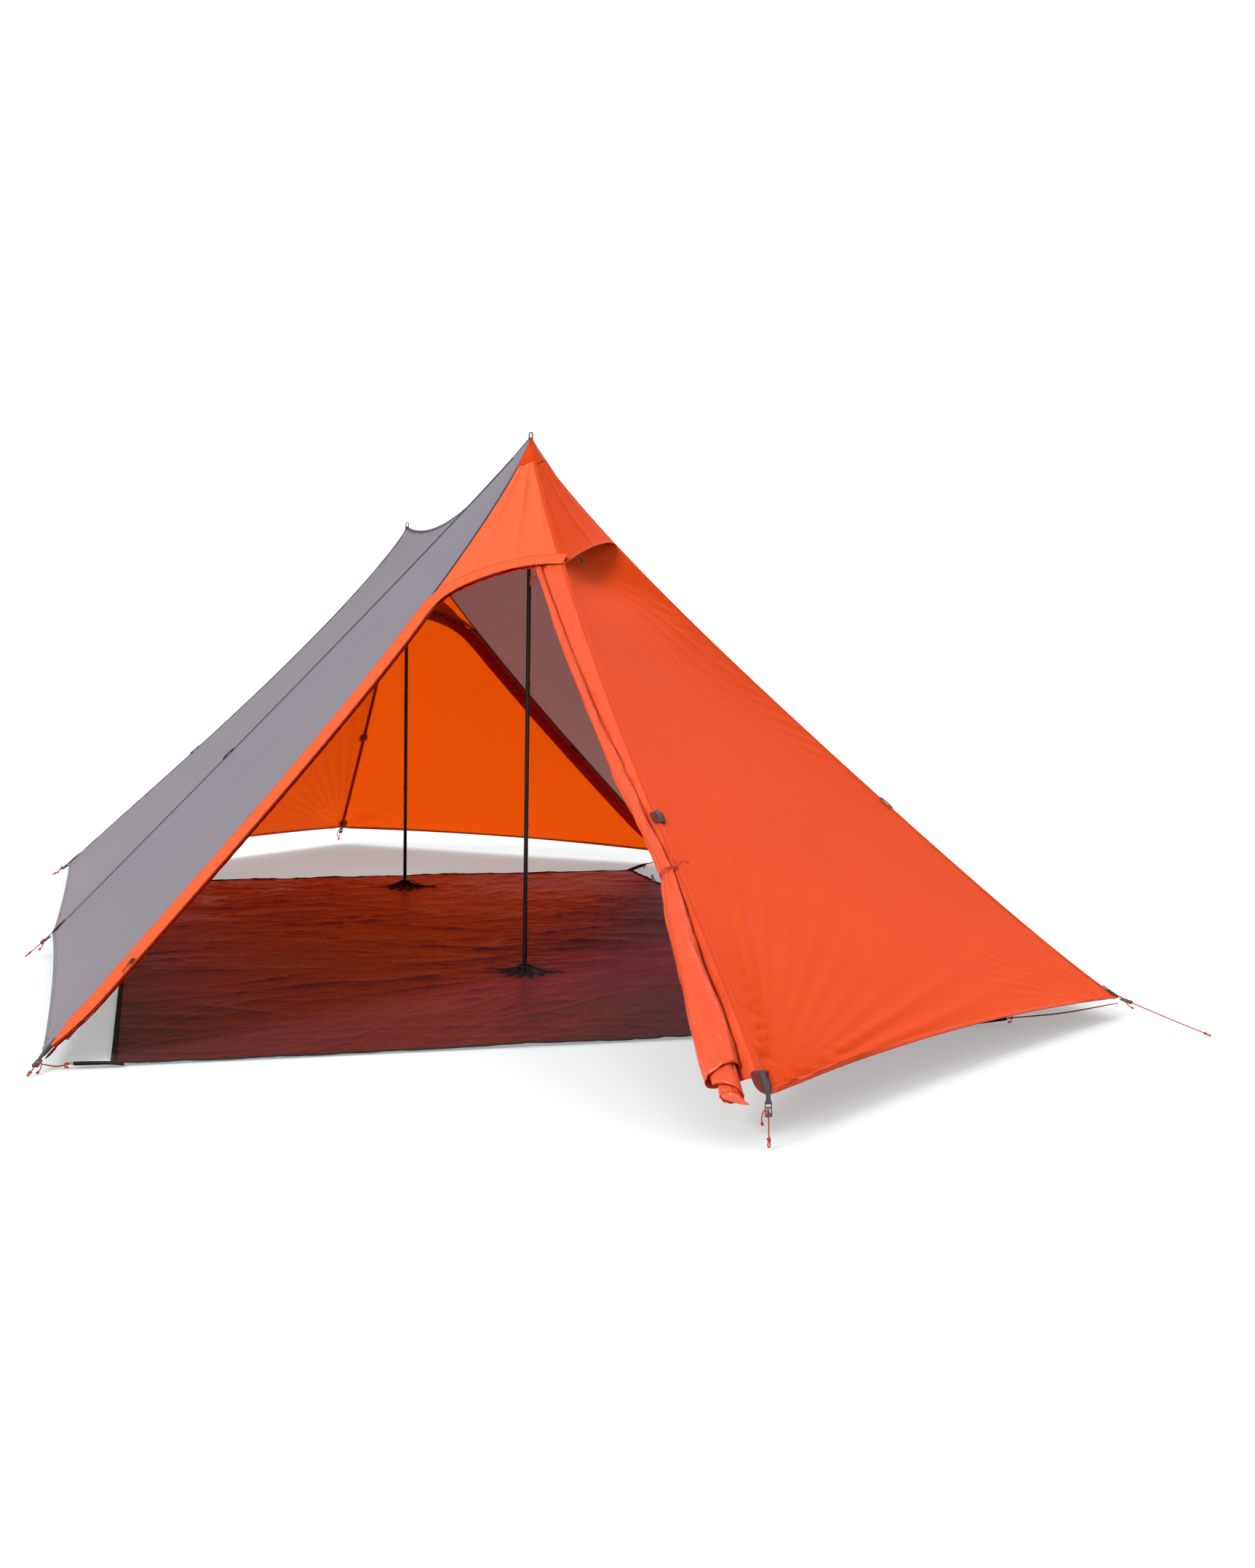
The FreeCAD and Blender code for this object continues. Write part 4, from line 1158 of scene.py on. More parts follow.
def make_door_roll():
    """Make the rolled door: one sheet that leaves the seam and winds into a spiral."""
    along, aside, outward = roll_axes()
    rows, web, wound = 260, 14, 150
    turn = over(0, ROLL_TURNS, wound)
    inner = np.clip((turn - 0.9) / 0.8, 0, 1)
    v = down(0, 1, rows)
    end = ROLL_END + 0.026 * inner ** 1.5 + 0.004 * np.sin(turn * 5)
    t = ROLL_START + (end - ROLL_START) * v
    radius, gap = roll_size(t)
    tie = np.exp(-((t - ROLL_TIE) / 0.045) ** 2)
    angle = 2 * math.pi * turn
    creases = value_noise(turn * 9 + 5, t * 26, 5) + 0.5 * value_noise(turn * 22, t * 60 + 3, 6) - 0.75
    pleats = np.sin(angle * 5 + 3 * value_noise(turn * 3, t * 9, 7))
    size = radius * (1 - 0.27 * turn / (1 + 0.1 * turn)) + 0.0058 * creases * np.minimum(1, radius / 0.02)
    below_tie = np.clip((t - ROLL_TIE) / 0.02, 0, 1) * np.exp(-np.abs(t - ROLL_TIE - 0.03) / 0.05)
    size = size + pleats * (0.0022 * tie + 0.0016 * below_tie)
    squeeze = 1 + 0.10 * np.sin(t * 31 + 1) - 0.15 * np.clip((0.5 - t) / 0.3, 0, 1)
    middle = SEAM["head_centre"](t) + aside * (gap + radius)[..., None] - outward * ROLL_BEHIND
    sideways, inwards = size * np.sin(angle) / squeeze, size * np.cos(angle) * squeeze
    ring = middle + aside * sideways[..., None] - outward * inwards[..., None]

    share = np.linspace(0, 1, web, endpoint=False)[None, :]
    t_start = ROLL_START + (ROLL_END - ROLL_START) * v
    t_web = t_start + 0.020 * v ** 6 * (1 - share)
    seam_side = SEAM["head_centre"](t_web)
    across = (ring[:, :1] - SEAM["head_centre"](t_start)) * share[..., None]
    wave = np.sin(t_web * 95 + 4 * value_noise(share * 3, t_web * 12, 9))
    bulge = (0.006 + 0.0022 * wave) * np.sin(share * math.pi)
    flange = seam_side + across + outward * bulge[..., None]
    points = np.concatenate([flange, ring], axis=1)
    length = np.concatenate([t_web, t], axis=1) * SEAM_LENGTH["head_centre"]
    run = over(0, 0.5, web + wound) + 0 * length
    # The roll's cloth is the lighter, pinker copy of the orange: painted light and highlights.
    cloth = sheet("door_cloth", points, np.stack([run, length], -1), MATERIAL["door"])

    edge = points[-1]
    binding = tube("door_binding", edge[4:-2], 0.0011, MATERIAL["seam_orange"], sides=6)
    tail = make_door_tail(points[-1, -30:], along, aside, outward)
    roll = join("rolled_door_cloth", [cloth, binding, tail])
    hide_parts("head_door_roll")
    hinge = Vector(SEAM["head_centre"](0.5 * (ROLL_START + ROLL_END)))
    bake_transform(roll)


def make_door_tail(edge, along, aside, outward):
    """Return the corner of the door that hangs out of the roll's open end."""
    columns = 16
    start = edge[np.linspace(0, len(edge) - 1, columns).astype(int)]
    v = down(0, 1, 26)[..., None]
    mid = start.mean(0)
    narrow = (start - mid)[None] * (1 - v) ** 0.8
    hang = along * 0.045 * v + aside * (-0.034 * v ** 1.6) + outward * (0.004 * np.sin(v * 5))
    points = mid + narrow + hang - along * 0.004
    uv = np.stack(np.broadcast_arrays(over(0, 0.03, columns), v[:, :, 0] * 0.05), -1)
    # The hanging corner uses the roll's lighter copy of the orange: painted light.
    return sheet("door_tail", points, uv, MATERIAL["door"])


make_door_roll()


def make_door_tie():
    """Make the cord around the roll, its knots and tail, and the toggle."""
    along, aside, outward = roll_axes()
    radius, gap = roll_size(ROLL_TIE)
    seam_point = SEAM["head_centre"](ROLL_TIE)
    middle = seam_point + aside * (gap + radius) - outward * ROLL_BEHIND
    red, parts = MATERIAL["cord"], []
    for k, shift in enumerate((-0.004, 0.003)):
        loop = []
        for a in turns(40):
            wide = radius + 0.0045 + 0.004 * max(0.0, -math.cos(a)) ** 2
            spot = middle + aside * (math.cos(a) * wide) + outward * (math.sin(a) * (radius + 0.005))
            loop.append(spot + along * (shift + 0.004 * math.sin(a + k)))
        parts.append(tube("tie", loop, 0.00115, red, sides=8, closed=True))
    right = seam_point + outward * 0.012 + aside * 0.006
    tail = [middle - aside * -0.004 + outward * (radius + 0.007), right + along * 0.004,
            right - aside * 0.020 + along * 0.001 + outward * 0.006,
            right - aside * 0.028 + along * 0.010 + outward * 0.006]
    parts.append(tube("tail", bend_through(tail, 36), 0.00115, red, sides=8))
    parts.append(knot("tail_knot", tail[-1], tail[-1] - tail[-2], 0.0026, red, 0.0011))
    tail = [right, right - along * 0.012 - aside * 0.004, right - along * 0.022 - aside * 0.001]
    parts.append(tube("loop_to_seam", bend_through(tail, 24), 0.00115, red, sides=8))
    finish_piece(join("door_tie", parts), "door_roll", "red_cord", "door_tie_cord")

    low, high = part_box("door_toggle")
    spot = (np.array(low) + np.array(high)) / 2
    profile = [(0.0012, -0.0095), (0.0030, -0.0090), (0.0034, -0.0070), (0.0026, -0.0020),
               (0.0026, 0.0020), (0.0034, 0.0070), (0.0030, 0.0090), (0.0012, 0.0095)]
    toggle = lathe("toggle", profile, spot, MATERIAL["lock"], axis=along, sides=24)
    finish_piece(toggle, "door_toggle", "grey_plastic", "door_toggle")


make_door_tie()


# ---- Hood cords, struts and zips ------------------------------------------------------------
# Each hanging cord: its place along the doorway's top and how far down its knot is.
HOOD_CORDS = ((0.135, 0.020), (0.18, 0.034), (0.225, 0.030))


def make_hood_cords():
    """Make the cords that hang in each door arch, with a knot and a frayed end."""
    parts = []
    for end, inward in (("head", 1), ("foot", -1)):
        centre = SEAM[end + "_centre"](HOOD_AT_CENTRE)
        corner = SEAM[DOOR_SEAM[end]](HOOD_AT_CORNER)
        for k, (share, drop) in enumerate(HOOD_CORDS):
            top = centre + (corner - centre) * share + np.array([0, 0.014 * inward, 0.024])
            bow = np.array([0.004 * (-1) ** k, 0.002, 0])
            path = [top, top - UP * drop + bow, top - UP * (drop + 0.022) + bow * 0.2]
            parts.append(tube("hood_cord", bend_through(path, 20), 0.0011, MATERIAL["cord"], sides=8))
            parts.append(knot("hood_knot", path[1], UP, 0.0034, MATERIAL["cord"], 0.0011))
            for fray in (-1, 1):
                ends = [path[1], path[1] - UP * 0.010 + [0.004 * fray, 0, 0],
                        path[1] - UP * 0.024 + [0.003 * fray, 0.001, 0]]
                parts.append(tube("fray", bend_through(ends, 12), 0.0007, MATERIAL["cord"], sides=6))
    finish_piece(join("hood_cords", parts), ROOT, "red_cord", "hood_tie_cords")


make_hood_cords()


def node_points(name):
    """Return the points of a CAD node's mesh."""
    node = frame["nodes"][name]
    world = np.array(node.matrix_world)
    return np.array([v.co for v in node.data.vertices]) @ world[:3, :3].T + world[:3, 3]


def node_axes(name):
    """Return a thin CAD node's middle and its long, wide and thin directions."""
    verts = node_points(name)
    middle = (verts.min(0) + verts.max(0)) / 2
    axes = np.linalg.svd(verts - verts.mean(0), full_matrices=False)[2]
    spans = [np.ptp(verts @ axis) for axis in axes]
    order = np.argsort(spans)[::-1]
    return middle, [axes[i] for i in order], [spans[i] for i in order]


STRUT_SHARE = 0.86                    # the strut's length as a share of its place in the frame
STRUT_BOW = 0.002


def make_struts():
    """Make the bowed plastic struts that prop the vents."""
    for end in ENDS:
        node = end + "_vent_strut"
        middle, (long_axis, wide_axis, thin_axis), (length, width, thick) = node_axes(node)
        path = []
        for f in np.linspace(0, 1, 24):
            bow = STRUT_BOW * math.sin(math.pi * f)
            path.append(middle + long_axis * (STRUT_SHARE * length * (f - 0.5)) + thin_axis * bow)
        strut = ribbon("strut", path, wide_axis, width, thick, MATERIAL["strut"])
        profile = [(0.0022, -0.0016), (0.0030, -0.001), (0.0030, 0.001), (0.0022, 0.0016)]
        studs = [lathe("stud", profile, path[k], MATERIAL["lock"], axis=thin_axis, sides=20)
                 for k in (2, -3)]
        finish_piece(join(end + "_strut", [strut] + studs), end + "_strut", "black_plastic", node)


make_struts()


# The boxes of a zip slider: its body, the bridge over it and the tab that hangs from that.
ZIP_SLIDER = (("body", (-0.006, -0.0045, -0.0012), (0.008, 0.0045, 0.0010)),
              ("bridge", (-0.004, -0.0015, 0.0008), (0.005, 0.0015, 0.0026)),
              ("tab", (-0.017, -0.0022, 0.0004), (-0.004, 0.0022, 0.0018)))
# A zip's coil and the rows of stitches beside it: distance from the middle, and thickness.
ZIP_LINES = ((0.0, 0.0011), (-0.0028, 0.0005), (0.0028, 0.0005))
ZIP_FROM_EDGE, ZIP_HEIGHT = 0.004, 0.0028


def make_zips():
    """Make the coil zips along the door strips, and their sliders."""
    coils = []
    for end in ENDS:
        door = PANEL[end + "_door"]
        t = np.linspace(HOOD_AT_CORNER + 0.01, 0.975, 420)
        for off, size in ZIP_LINES:
            line = door.at((STRIP_WIDE - ZIP_FROM_EDGE + off) / door.width(t), t, ZIP_HEIGHT)
            coils.append(tube("coil", line, size, MATERIAL["zip_tape"], sides=8))
        node = end + "_zip_slider"
        middle, (long_axis, wide_axis, thin_axis), _ = node_axes(node)
        if long_axis[2] < 0:
            long_axis = -long_axis
        if thin_axis @ door.out < 0:
            thin_axis = -thin_axis
        wide_axis = np.cross(thin_axis, long_axis)
        body = [soft_box(name, low, high, MATERIAL["zip_metal"]) for name, low, high in ZIP_SLIDER]
        pull = bend_through([(-0.016, 0, 0.001), (-0.026, 0.001, 0.0), (-0.036, -0.001, -0.001)], 16)
        body.append(tube("pull", pull, 0.0011, MATERIAL["cord"], sides=8))
        for piece in body:
            move_to(piece, middle + long_axis * 0.006, long_axis, wide_axis, thin_axis)
        finish_piece(join(end + "_slider", body), end + "_zip", "zip_metal", node)
    finish_piece(join("zip_coils", coils), ROOT, "zip_tape", "zip_tracks")


make_zips()


# ---- Poles ----------------------------------------------------------------------------------
TUBE_R, INNER_R, CLAMP_R, LEVER_PIVOT = 0.006, 0.00505, 0.010, 0.015
TUBE_WALL = 0.0008
CLAMP_HALF, CLAMP_GROOVES = 0.013, (0.006, 0.002, -0.002, -0.006)
TUBE_JOINTS = (0.36, 0.70)            # shares of the lower tube's length
TIP_BELOW_PEAK = 0.072


def make_pole(end):
    """Make one pole: two tubes, joint rings, a lever clamp, its pin and a rubber foot."""
    y = 0.0 if end == "head" else float(PEAK["foot"][1])
    base = np.array([0, y, 0.0])
    low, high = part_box(end + "_pole_lower")
    clamp = high[2]
    rings = [(TUBE_R, low[2])]
    for share in TUBE_JOINTS:
        at = low[2] + (clamp - low[2]) * share
        rings += [(TUBE_R, at - 0.012), (TUBE_R + 0.0005, at - 0.0115), (TUBE_R + 0.0005, at - 0.0004),
                  (TUBE_R - 0.0002, at), (TUBE_R, at + 0.0006)]
    rings += [(TUBE_R, clamp - 0.0005), (TUBE_R - 0.0004, clamp), (TUBE_R - 0.0009, clamp),
              (TUBE_R - 0.0009, low[2])]
    lower = lathe("lower_tube", rings, base, MATERIAL["pole"], closed=True)
    finish_piece(lower, end + "_pole", "pole_metal", end + "_pole_lower")

    low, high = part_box(end + "_pole_upper")
    inside = INNER_R - TUBE_WALL
    profile = [(INNER_R, low[2]), (INNER_R, high[2]), (inside, high[2]), (inside, low[2])]
    upper = lathe("upper_tube", profile, base, MATERIAL["tube"], closed=True)
    finish_piece(upper, ROOT, "inner_tube_metal", end + "_pole_upper")

    profile = [(0.0004, 0.0008), (0.0066, 0.0008), (0.0080, 0.0020), (0.0082, 0.0062), (0.0074, 0.0074),
               (0.0082, 0.0086), (0.0082, 0.0122), (0.0074, 0.0134), (0.0082, 0.0146),
               (0.0080, 0.0216), (0.0062, 0.0226), (0.0004, 0.0226)]
    shoe = lathe("shoe", profile, base, MATERIAL["rubber"])
    finish_piece(shoe, end + "_pole", "shoe_rubber", end + "_pole_shoe")

    bore, half = INNER_R + 0.0001, CLAMP_HALF
    profile = [(bore, clamp + half), (CLAMP_R - 0.002, clamp + half),
               (CLAMP_R - 0.0005, clamp + half - 0.002)]
    for groove in CLAMP_GROOVES:
        profile += [(CLAMP_R, clamp + groove + 0.0012), (CLAMP_R - 0.0007, clamp + groove),
                    (CLAMP_R, clamp + groove - 0.0012)]
    profile += [(CLAMP_R - 0.0005, clamp - half + 0.001), (TUBE_R + 0.0002, clamp - half),
                (TUBE_R + 0.0002, clamp), (bore, clamp)]
    parts = [lathe("clamp", profile, base, MATERIAL["black"], closed=True)]
    for side in (-1, 1):
        y_near, y_far = sorted((side * 0.0036, side * 0.0060))
        lug = soft_box("lug", (CLAMP_R - 0.003, y_near, -0.005), (CLAMP_R + 0.009, y_far, 0.005),
                       MATERIAL["black"], 0.0010)
        parts.append(move_to(lug, base + UP * clamp, (1, 0, 0), (0, 1, 0), (0, 0, 1)))
    finish_piece(join(end + "_clamp_body", parts), end + "_pole", "black_plastic", end + "_pole_clamp")

    at = base + np.array([LEVER_PIVOT, 0, clamp])
    profile = [(0.0008, -0.0066), (0.0022, -0.0066), (0.0024, -0.0061), (0.0015, -0.0060),
               (0.0015, 0.0060), (0.0024, 0.0061), (0.0022, 0.0066), (0.0008, 0.0066)]
    pin = lathe("pin", profile, at, MATERIAL["steel"], axis=(0, 1, 0), sides=24)
    finish_piece(pin, end + "_pole", "pin_steel", end + "_clamp_pin")

    profile = [(0.0016, -0.0032), (0.0034, -0.0032), (0.0034, 0.0032), (0.0016, 0.0032)]
    hub = lathe("hub", profile, at, MATERIAL["black"], axis=(0, 1, 0), closed=True)
    path = []
    for f in np.linspace(0, 1, 22):
        x = 0.0002 + 0.0010 * math.sin(math.pi * f) + 0.0035 * f ** 4
        path.append(at + np.array([x, 0, -0.001 - 0.033 * f]))
    arm = rounded(ribbon("arm", path, (0, 1, 0), 0.0064, 0.0028, MATERIAL["black"]), 0.0004)
    finish_piece(join(end + "_lever", [hub, arm]), end + "_lever", "black_plastic", end + "_clamp_lever")


def make_tips():
    """Make the tips on the inner tubes."""
    tips = []
    for end in ENDS:
        base = PEAK[end] - UP * TIP_BELOW_PEAK
        profile = [(INNER_R + 0.0001, 0), (0.0064, 0), (0.0070, 0.001), (0.0070, 0.008), (0.0062, 0.0095),
                   (0.0062, 0.012), (0.0048, 0.019), (0.0020, 0.0215), (0.0006, 0.022), (0.0006, 0.0064),
                   (INNER_R + 0.0001, 0.0062)]
        tips.append(lathe("tip", profile, base, MATERIAL["black"], closed=True))
    finish_piece(join("pole_tip_mouldings", tips), ROOT, "black_plastic", "pole_tips")


make_pole("head")
make_pole("foot")
make_tips()


# ---- Ground sheet -----------------------------------------------------------------------------
def floor_outline():
    """Return the ground sheet's head and foot edges: lowest x, highest x and y of each."""
    verts = node_points("ground_sheet")
    edges = []
    for y in (verts[:, 1].min(), verts[:, 1].max()):
        near = verts[np.abs(verts[:, 1] - y) < 0.01]
        edges.append((float(near[:, 0].min()), float(near[:, 0].max()), float(y)))
    return edges


FLOOR = floor_outline()
# The ground sheet's corners as shares across and along it, and the canopy corners they tie to.
FLOOR_CORNERS = ((0, 0), (1, 0), (1, 1), (0, 1))
TIED_TO = ("head_left", "head_right", "foot_right", "foot_left")
BINDING_WIDE = 0.013


def floor_point(u, v):
    """Return x and y on the ground sheet for shares across and along it."""
    (head_low, head_high, head_y), (foot_low, foot_high, foot_y) = FLOOR
    low = head_low + (foot_low - head_low) * v
    high = head_high + (foot_high - head_high) * v
    return low + (high - low) * u, head_y + (foot_y - head_y) * v


# Families of creases: direction in degrees, distance between them, length over distance,
# height and sharpness.
CREASES = ((8, 0.30, 3.2, 0.0040, 2.0), (-24, 0.12, 3.4, 0.0044, 3.5), (19, 0.10, 3.8, 0.0044, 3.5),
           (-6, 0.060, 5.0, 0.0032, 4.0), (42, 0.050, 3.2, 0.0026, 3.5),
           (-50, 0.045, 3.2, 0.0026, 3.5))


def crinkle(x, y):
    """Return the height of the ground sheet's creases: crossing families of thin ridges."""
    height = np.zeros(np.shape(x))
    bend = 0.10 * np.sin(2.1 * x + 0.7) * np.sin(1.7 * y)
    for k, (lean, size, stretch_by, tall, sharp) in enumerate(CREASES):
        c, d = math.cos(math.radians(lean)), math.sin(math.radians(lean))
        along, across = x * c + y * d, y * c - x * d + bend
        noise = value_noise(along / (size * stretch_by) + 7 * k, across / size + 3 * k, 31 + k)
        ridge = (1 - np.abs(2 * noise - 1)) ** sharp
        patchy = value_noise(x * 1.9 + k, y * 2.3 - k, 41 + k)
        height = height + tall * ridge * (0.10 + 1.2 * patchy ** 1.5)
    return height


def floor_height(x, y):
    """Return the ground sheet's height, with gathers around each pole foot."""
    height = crinkle(x, y)
    for peak in PEAK.values():
        d = np.hypot(x - peak[0], y - peak[1])
        angle = np.arctan2(y - peak[1], x - peak[0])
        gather = 0.5 + 0.5 * np.sin(angle * 11 + 3 * value_noise(angle * 2 + 8, d * 9, 51))
        height = height * (1 - np.exp(-(d / 0.16) ** 2)) + 0.006 * gather * np.exp(-(d / 0.17) ** 2)
    return height


def make_floor():
    """Make the ground sheet and its stitched binding."""
    v, u = np.broadcast_arrays(down(0, 1, 420), over(0, 1, 330))
    x, y = floor_point(u, v)
    points = np.stack([x, y, 0.0008 + floor_height(x, y)], -1)
    cloth = sheet("ground_cloth", points, np.stack([x, y], -1), MATERIAL["floor"])
    finish_piece(cloth, ROOT, "floor_fabric", "ground_sheet")

    sides = []
    share, off = down(0, 1, 260), over(0, BINDING_WIDE, 6)
    for corner, (start, end) in enumerate(zip(FLOOR_CORNERS, FLOOR_CORNERS[1:] + FLOOR_CORNERS[:1])):
        a = start[0] + (end[0] - start[0]) * share
        b = start[1] + (end[1] - start[1]) * share
        # Each side's inward direction is the way that its neighbour leaves its first corner.
        before = FLOOR_CORNERS[corner - 1]
        shift_u = (before[0] - start[0]) * off / (FLOOR[0][1] - FLOOR[0][0])
        shift_v = (before[1] - start[1]) * off / (FLOOR[1][2] - FLOOR[0][2])
        x, y = floor_point(a + shift_u, b + shift_v)
        z = floor_height(x, y) + 0.0024
        z = np.where(off < 1e-9, z - 0.0018, z)
        uv = np.stack(np.broadcast_arrays(off, share * 2.4), -1)
        sides.append(sheet("binding", np.stack([x, y, z], -1), uv, MATERIAL["binding"], 0.001))
    finish_piece(join("ground_binding", sides), ROOT, "floor_binding", "ground_sheet_binding")


make_floor()


BOOT_PLEATS = 13
DRAW_RADIUS, DRAW_HEIGHT = 0.0125, 0.0235


def make_boots():
    """Make the gathered cloth boots around the pole feet, and their drawcords."""
    boots, cords = [], []
    v, angle = down(0, 1, 46), turns(260)[None, :]
    for k, peak in enumerate((PEAK["head"], PEAK["foot"])):
        wander = value_noise(4 + 1.3 * np.cos(angle) + 0 * v, 4 + 1.3 * np.sin(angle) + 2 * v, 61 + k)
        fold = np.sin(angle * BOOT_PLEATS + 7 * wander)
        sharp = np.sign(fold) * np.abs(fold) ** 0.8
        reach = 0.0095 + 0.074 * (1 - v) ** 2.0 * (0.72 + 0.5 * wander)
        reach = reach + 0.0028 * sharp * np.minimum(1, 4 * v)
        crown = 0.0050 * (0.5 + 0.5 * sharp) * np.sin(math.pi * (1 - v)) ** 0.8
        height = 0.0026 + 0.0250 * v ** 1.15 + crown
        lip = np.clip((v - 0.88) / 0.12, 0, 1)
        reach = reach + 0.004 * lip * (1 + 0.5 * sharp)
        x, y = peak[0] + reach * np.cos(angle), peak[1] + reach * np.sin(angle)
        points = np.stack([x, y, height + 0 * x], -1)
        uv = np.stack(np.broadcast_arrays(angle * 0.05, v * 0.09), -1)
        boots.append(sheet("boot", points, uv, MATERIAL["boot"], 0.0008, wrap=True))
        middle = peak * [1, 1, 0] + UP * DRAW_HEIGHT
        ring = circle(middle, np.array([DRAW_RADIUS, 0, 0]), np.array([0, DRAW_RADIUS, 0]), 40)
        cords.append(tube("draw", ring, 0.00125, MATERIAL["dark_cord"], sides=8, closed=True))
        start = middle + np.array([0.0135, -0.002, 0])
        for side in (-1, 1):
            path = [start,
                    start + [0.016, -0.004 * side, 0.002],
                    start + [0.036, -0.012 - 0.005 * side, -0.008],
                    start + [0.066, -0.018 - 0.006 * side, -0.0150],
                    start + [0.090, -0.012 - 0.010 * side, -0.016]]
            cords.append(tube("tail", bend_through(path, 40), 0.00115, MATERIAL["dark_cord"], sides=8))
            cords.append(knot("knot", path[-1], path[-1] - path[-2], 0.0028, MATERIAL["dark_cord"], 0.0011))
    finish_piece(join("boot_cloth", boots), ROOT, "floor_fabric", "pole_boots")
    finish_piece(join("boot_cords", cords), ROOT, "red_cord", "boot_drawcords")


make_boots()


STRAP_LONGEST = 0.090                 # from a corner of the ground sheet to its ring
FLOOR_RING_R = 0.0062


def above_ground(point, least):
    """Return a point, raised if it's less than a least height above the ground."""
    return np.array([point[0], point[1], max(point[2], least)])


def make_floor_ties():
    """Make the straps, rings and cords from the ground sheet to the canopy's corners."""
    straps, rings, cords = [], [], []
    for corner, name in zip(FLOOR_CORNERS, TIED_TO):
        x, y = floor_point(*corner)
        start = np.array([x, y, 0.0075])
        end = CORNER[name] - UP * 0.014
        reach = unit(end - start)
        across = unit(np.cross(UP, reach))
        normal = np.cross(reach, across)
        length = np.linalg.norm(end - start)
        ring_at = start + reach * min(0.55 * length, STRAP_LONGEST)
        for layer in (-1, 1):
            path = bend_through([start - reach * 0.030 - UP * 0.003 + normal * 0.0012 * layer,
                                 start + normal * 0.0012 * layer,
                                 ring_at - reach * 0.0075 + normal * 0.0022 * layer,
                                 ring_at - reach * (0.0059 + 0.0001 * -layer)], 30)
            wide = 0.012 + 0.012 * np.sin(np.linspace(0.25, 1, len(path)) * math.pi) ** 1.5
            straps.append(ribbon("strap", path, across, wide, 0.0014, MATERIAL["floor_strap"]))
        for k, tilt in enumerate((0.25, -0.35)):
            turned = unit(normal + across * tilt)
            first = unit(reach - turned * (reach @ turned))
            second = np.cross(turned, first)
            wire = circle(ring_at + reach * 0.002 * k, first * FLOOR_RING_R, second * FLOOR_RING_R, 36)
            rings.append(tube("ring", wire, 0.0009, MATERIAL["steel"], sides=10, closed=True))
        for side in (-1, 1):
            sag = np.array([0, 0, -0.006]) + across * 0.003 * side
            path = [ring_at + reach * 0.005 + across * 0.002 * side, (ring_at + end) / 2 + sag, end]
            cords.append(tube("tie", bend_through(path, 30), 0.0012, MATERIAL["cord"], sides=8))
        cords.append(knot("knot", ring_at + reach * 0.013, reach, 0.0042, MATERIAL["cord"], 0.0012))
        tail = [ring_at + reach * 0.014, ring_at + reach * 0.018 - UP * 0.012 + across * 0.006,
                ring_at + reach * 0.012 - UP * 0.026 + across * 0.008]
        tail = [above_ground(p, 0.0025) for p in tail]
        cords.append(tube("tail", bend_through(tail, 20), 0.0011, MATERIAL["cord"], sides=8))
        tail_end = tail[-1] + UP * 0.001
        cords.append(knot("tail_knot", tail_end, tail[-1] - tail[-2], 0.0030, MATERIAL["cord"], 0.0011))
    finish_piece(join("floor_straps", straps), ROOT, "floor_binding", "floor_webbing")
    finish_piece(join("floor_ring_wires", rings), ROOT, "pin_steel", "floor_rings")
    finish_piece(join("floor_tie_cords", cords), ROOT, "red_cord", "floor_cords")


make_floor_ties()


# ---- Line locks and cords -----------------------------------------------------------------------
LOCK_WIDE, LOCK_LONG, BAR_R, LOOP_R, CORD_R = 0.0144, 0.028, 0.00155, 0.007, 0.00145


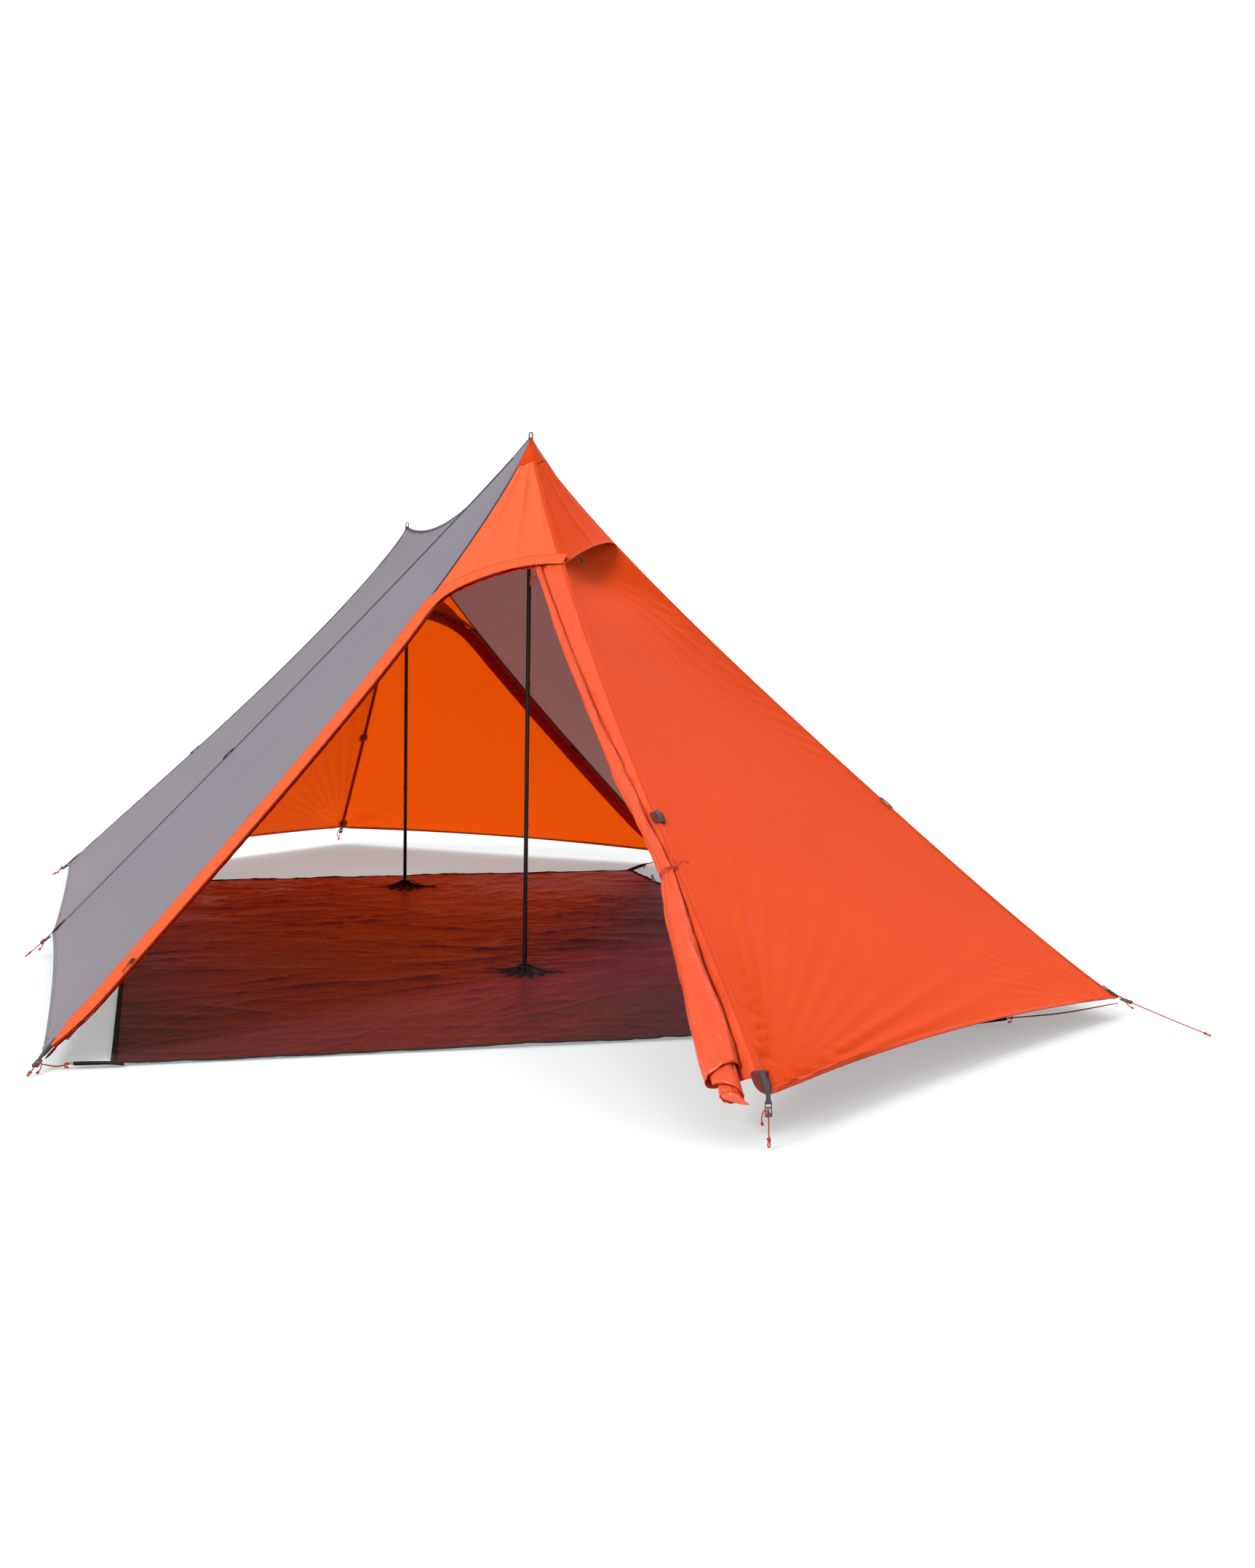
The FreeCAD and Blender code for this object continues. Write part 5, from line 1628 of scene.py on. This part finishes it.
def make_anchor(name):
    """Make one line lock, and its cord with a knot, a loop and a loose tail."""
    pivot, reach, axis, up = anchor_axes(name)
    half = LOCK_WIDE / 2
    grey = MATERIAL["lock"]
    parts = []
    for side in (-1, 1):
        near, far = sorted((side * half, side * (half - 0.0018)))
        parts.append(soft_box("rail", (-0.0026, near, -0.0020), (LOCK_LONG, far, 0.0022), grey, 0.0008))
    bar = [(0.0008, -half), (BAR_R, -half), (BAR_R, half), (0.0008, half)]
    parts.append(lathe("bar", bar, (0, 0, 0), grey, axis=(0, 1, 0), sides=20))
    parts.append(soft_box("middle", (0.0085, -half, -0.0020), (0.0115, half, 0.0004), grey, 0.0005))
    parts.append(soft_box("bridge", (0.0195, -half, 0.0022), (LOCK_LONG, half, 0.0042), grey, 0.0008))
    low, high = (0.0215, -half, -0.0021), (LOCK_LONG + 0.001, half, -0.0008)
    parts.append(soft_box("under", low, high, grey, 0.0005))
    for k in range(3):
        x, wide = 0.0210 + 0.0025 * k, half - 0.0015
        parts.append(soft_box("grip", (x, -wide, 0.0040), (x + 0.0009, wide, 0.0047), grey, 0.0003))
    for part in parts:
        move_to(part, pivot, reach, axis * -1, np.cross(reach, axis * -1))
    finish_piece(join("lock_" + name, parts), "guy_" + name, "grey_plastic", "line_lock_" + name)

    seed = CORNER_NAMES.index(name)
    side = axis * -1
    lift = np.cross(reach, side)
    loop_at = MOUNT["peg_loop_" + name] + lift * 0.001
    distance = (loop_at - pivot) @ reach
    red = MATERIAL["cord"]

    def local(x, y, z):
        return pivot + reach * x + side * y + lift * z
    knot_x = distance - LOOP_R - 0.002
    shake = 0.0006 * math.sin(seed * 2.1)
    main = [local(0.012, 0, -0.0008), local(0.018, 0, 0.0010), local(0.030, 0, 0.0012),
            local((0.030 + knot_x) / 2, shake, 0.0006), local(knot_x, 0, 0.0010)]
    parts = [tube("cord", bend_through(main, 48), CORD_R, red)]
    parts.append(knot("loop_knot", local(knot_x, 0, 0.001), reach, 0.0036, red, CORD_R))
    loop = []
    for a in turns(48):
        narrow = 0.72 + 0.28 * math.cos(a)
        loop.append(local(distance + LOOP_R * math.cos(a), 0.42 * LOOP_R * math.sin(a) * narrow, 0.001))
    parts.append(tube("loop", loop, CORD_R, red, closed=True))
    turn_back = 1 if seed % 2 else -1
    tail = [local(0.024, 0.003 * turn_back, 0.0052), local(0.014, 0.006 * turn_back, 0.0062),
            local(0.016, 0.011 * turn_back, 0.003), local(0.030, 0.013 * turn_back, -0.004),
            local(0.042, 0.011 * turn_back, -0.007)]
    tail = [above_ground(p, 0.0035) for p in tail]
    parts.append(tube("tail", bend_through(tail, 48), CORD_R * 0.92, red))
    parts.append(knot("tail_knot", tail[-1], tail[-1] - tail[-2], 0.0030, red, CORD_R * 0.9))
    finish_piece(join("cord_" + name, parts), "guy_" + name, "red_cord", "guy_cord_" + name)


for corner_name in CORNER_NAMES:
    make_anchor(corner_name)


# ---- Stage, light and camera ------------------------------------------------------------
SKY_LIGHT = 0.54
# Each lamp: its name, the way its light travels, its softness in degrees and its strength.
SUNS = (("key", (0.68, 0.50, -0.52), 16, 3.0), ("side", (-0.55, -0.65, -0.55), 36, 5.2))


STAGE_HALF, STAGE_Z = 60.0, -0.002
# The camera: where it stands, its right and up directions, and its lens in millimetres.
EYE = (-1.5225, -6.0764, 1.1201)
EYE_RIGHT, EYE_UP = (0.95499, -0.29613, 0.01716), (0.01251, 0.09803, 0.99510)
SENSOR, LENS, SHIFT = 36.0, 51.49, (-0.01665, 0.00829)


def make_paper():
    """Return the floor's material: it glows white, with painted soft neutral shade close to the tent and a faint
    cyan tint that offsets red light from the tent.
    """
    paper = Shader("stage_paper")
    near = paper.node("AmbientOcclusion", {"Distance": 0.9})
    near.samples = 12
    # Painted shade: the floor's glow dims where the tent is close, from an ambient-occlusion mask.
    shade = paper.math("POWER", near.outputs["AO"], 1.6)
    glow = paper.math("MULTIPLY_ADD", shade, 0.46, 0.32)
    # The faint cyan tint offsets the red light thrown from the tent.
    body = paper.node("BsdfPrincipled", {"Base Color": rgba(0.34, 0.36, 0.36), "Roughness": 0.9,
                                         "Emission Color": rgba(0.98, 1, 1), "Emission Strength": glow})
    return paper.finish(body.outputs[0])


def make_stage():
    """Make the pale floor, the soft lights and the camera."""
    corners = [(x * STAGE_HALF, y * STAGE_HALF, STAGE_Z) for x, y in ((-1, -1), (1, -1), (1, 1), (-1, 1))]
    floor = make_object("stage_floor", corners, [(0, 1, 2, 3)], make_paper())

    world = bpy.data.worlds.new("studio")
    world.use_nodes = True
    nodes, links = world.node_tree.nodes, world.node_tree.links
    sky = nodes["Background"]
    sky.inputs["Color"].default_value = rgba(1, 1, 1)
    path = nodes.new("ShaderNodeLightPath")
    seen = nodes.new("ShaderNodeMapRange")
    seen.inputs[3].default_value, seen.inputs[4].default_value = SKY_LIGHT, 1.2
    links.new(path.outputs["Is Camera Ray"], seen.inputs[0])
    links.new(seen.outputs[0], sky.inputs["Strength"])
    bpy.context.scene.world = world

    for name, heading, spread_deg, power in SUNS:
        light = bpy.data.lights.new(name, "SUN")
        light.energy, light.angle = power, math.radians(spread_deg)
        lamp = bpy.data.objects.new(name, light)
        lamp.rotation_euler = Vector(heading).to_track_quat("-Z", "Y").to_euler()
        bpy.context.scene.collection.objects.link(lamp)
        if name == "side":
            lamp.visible_glossy = False
            unlit = bpy.data.collections.new("not_lit_from_the_side")
            unlit.objects.link(floor)
            lamp.light_linking.receiver_collection = unlit
            unlit.collection_objects[0].light_linking.link_state = "EXCLUDE"

    camera = bpy.data.cameras.new("camera")
    camera.sensor_width = SENSOR
    camera.lens = LENS
    camera.shift_x, camera.shift_y = SHIFT
    eye = bpy.data.objects.new("camera", camera)
    right, upward = Vector(EYE_RIGHT), Vector(EYE_UP)
    turn = Matrix((right, upward, right.cross(upward))).transposed().to_4x4()
    eye.matrix_world = Matrix.Translation(EYE) @ turn
    bpy.context.scene.collection.objects.link(eye)
    bpy.context.scene.camera = eye
    bpy.context.scene.view_settings.view_transform = "Standard"


make_stage()
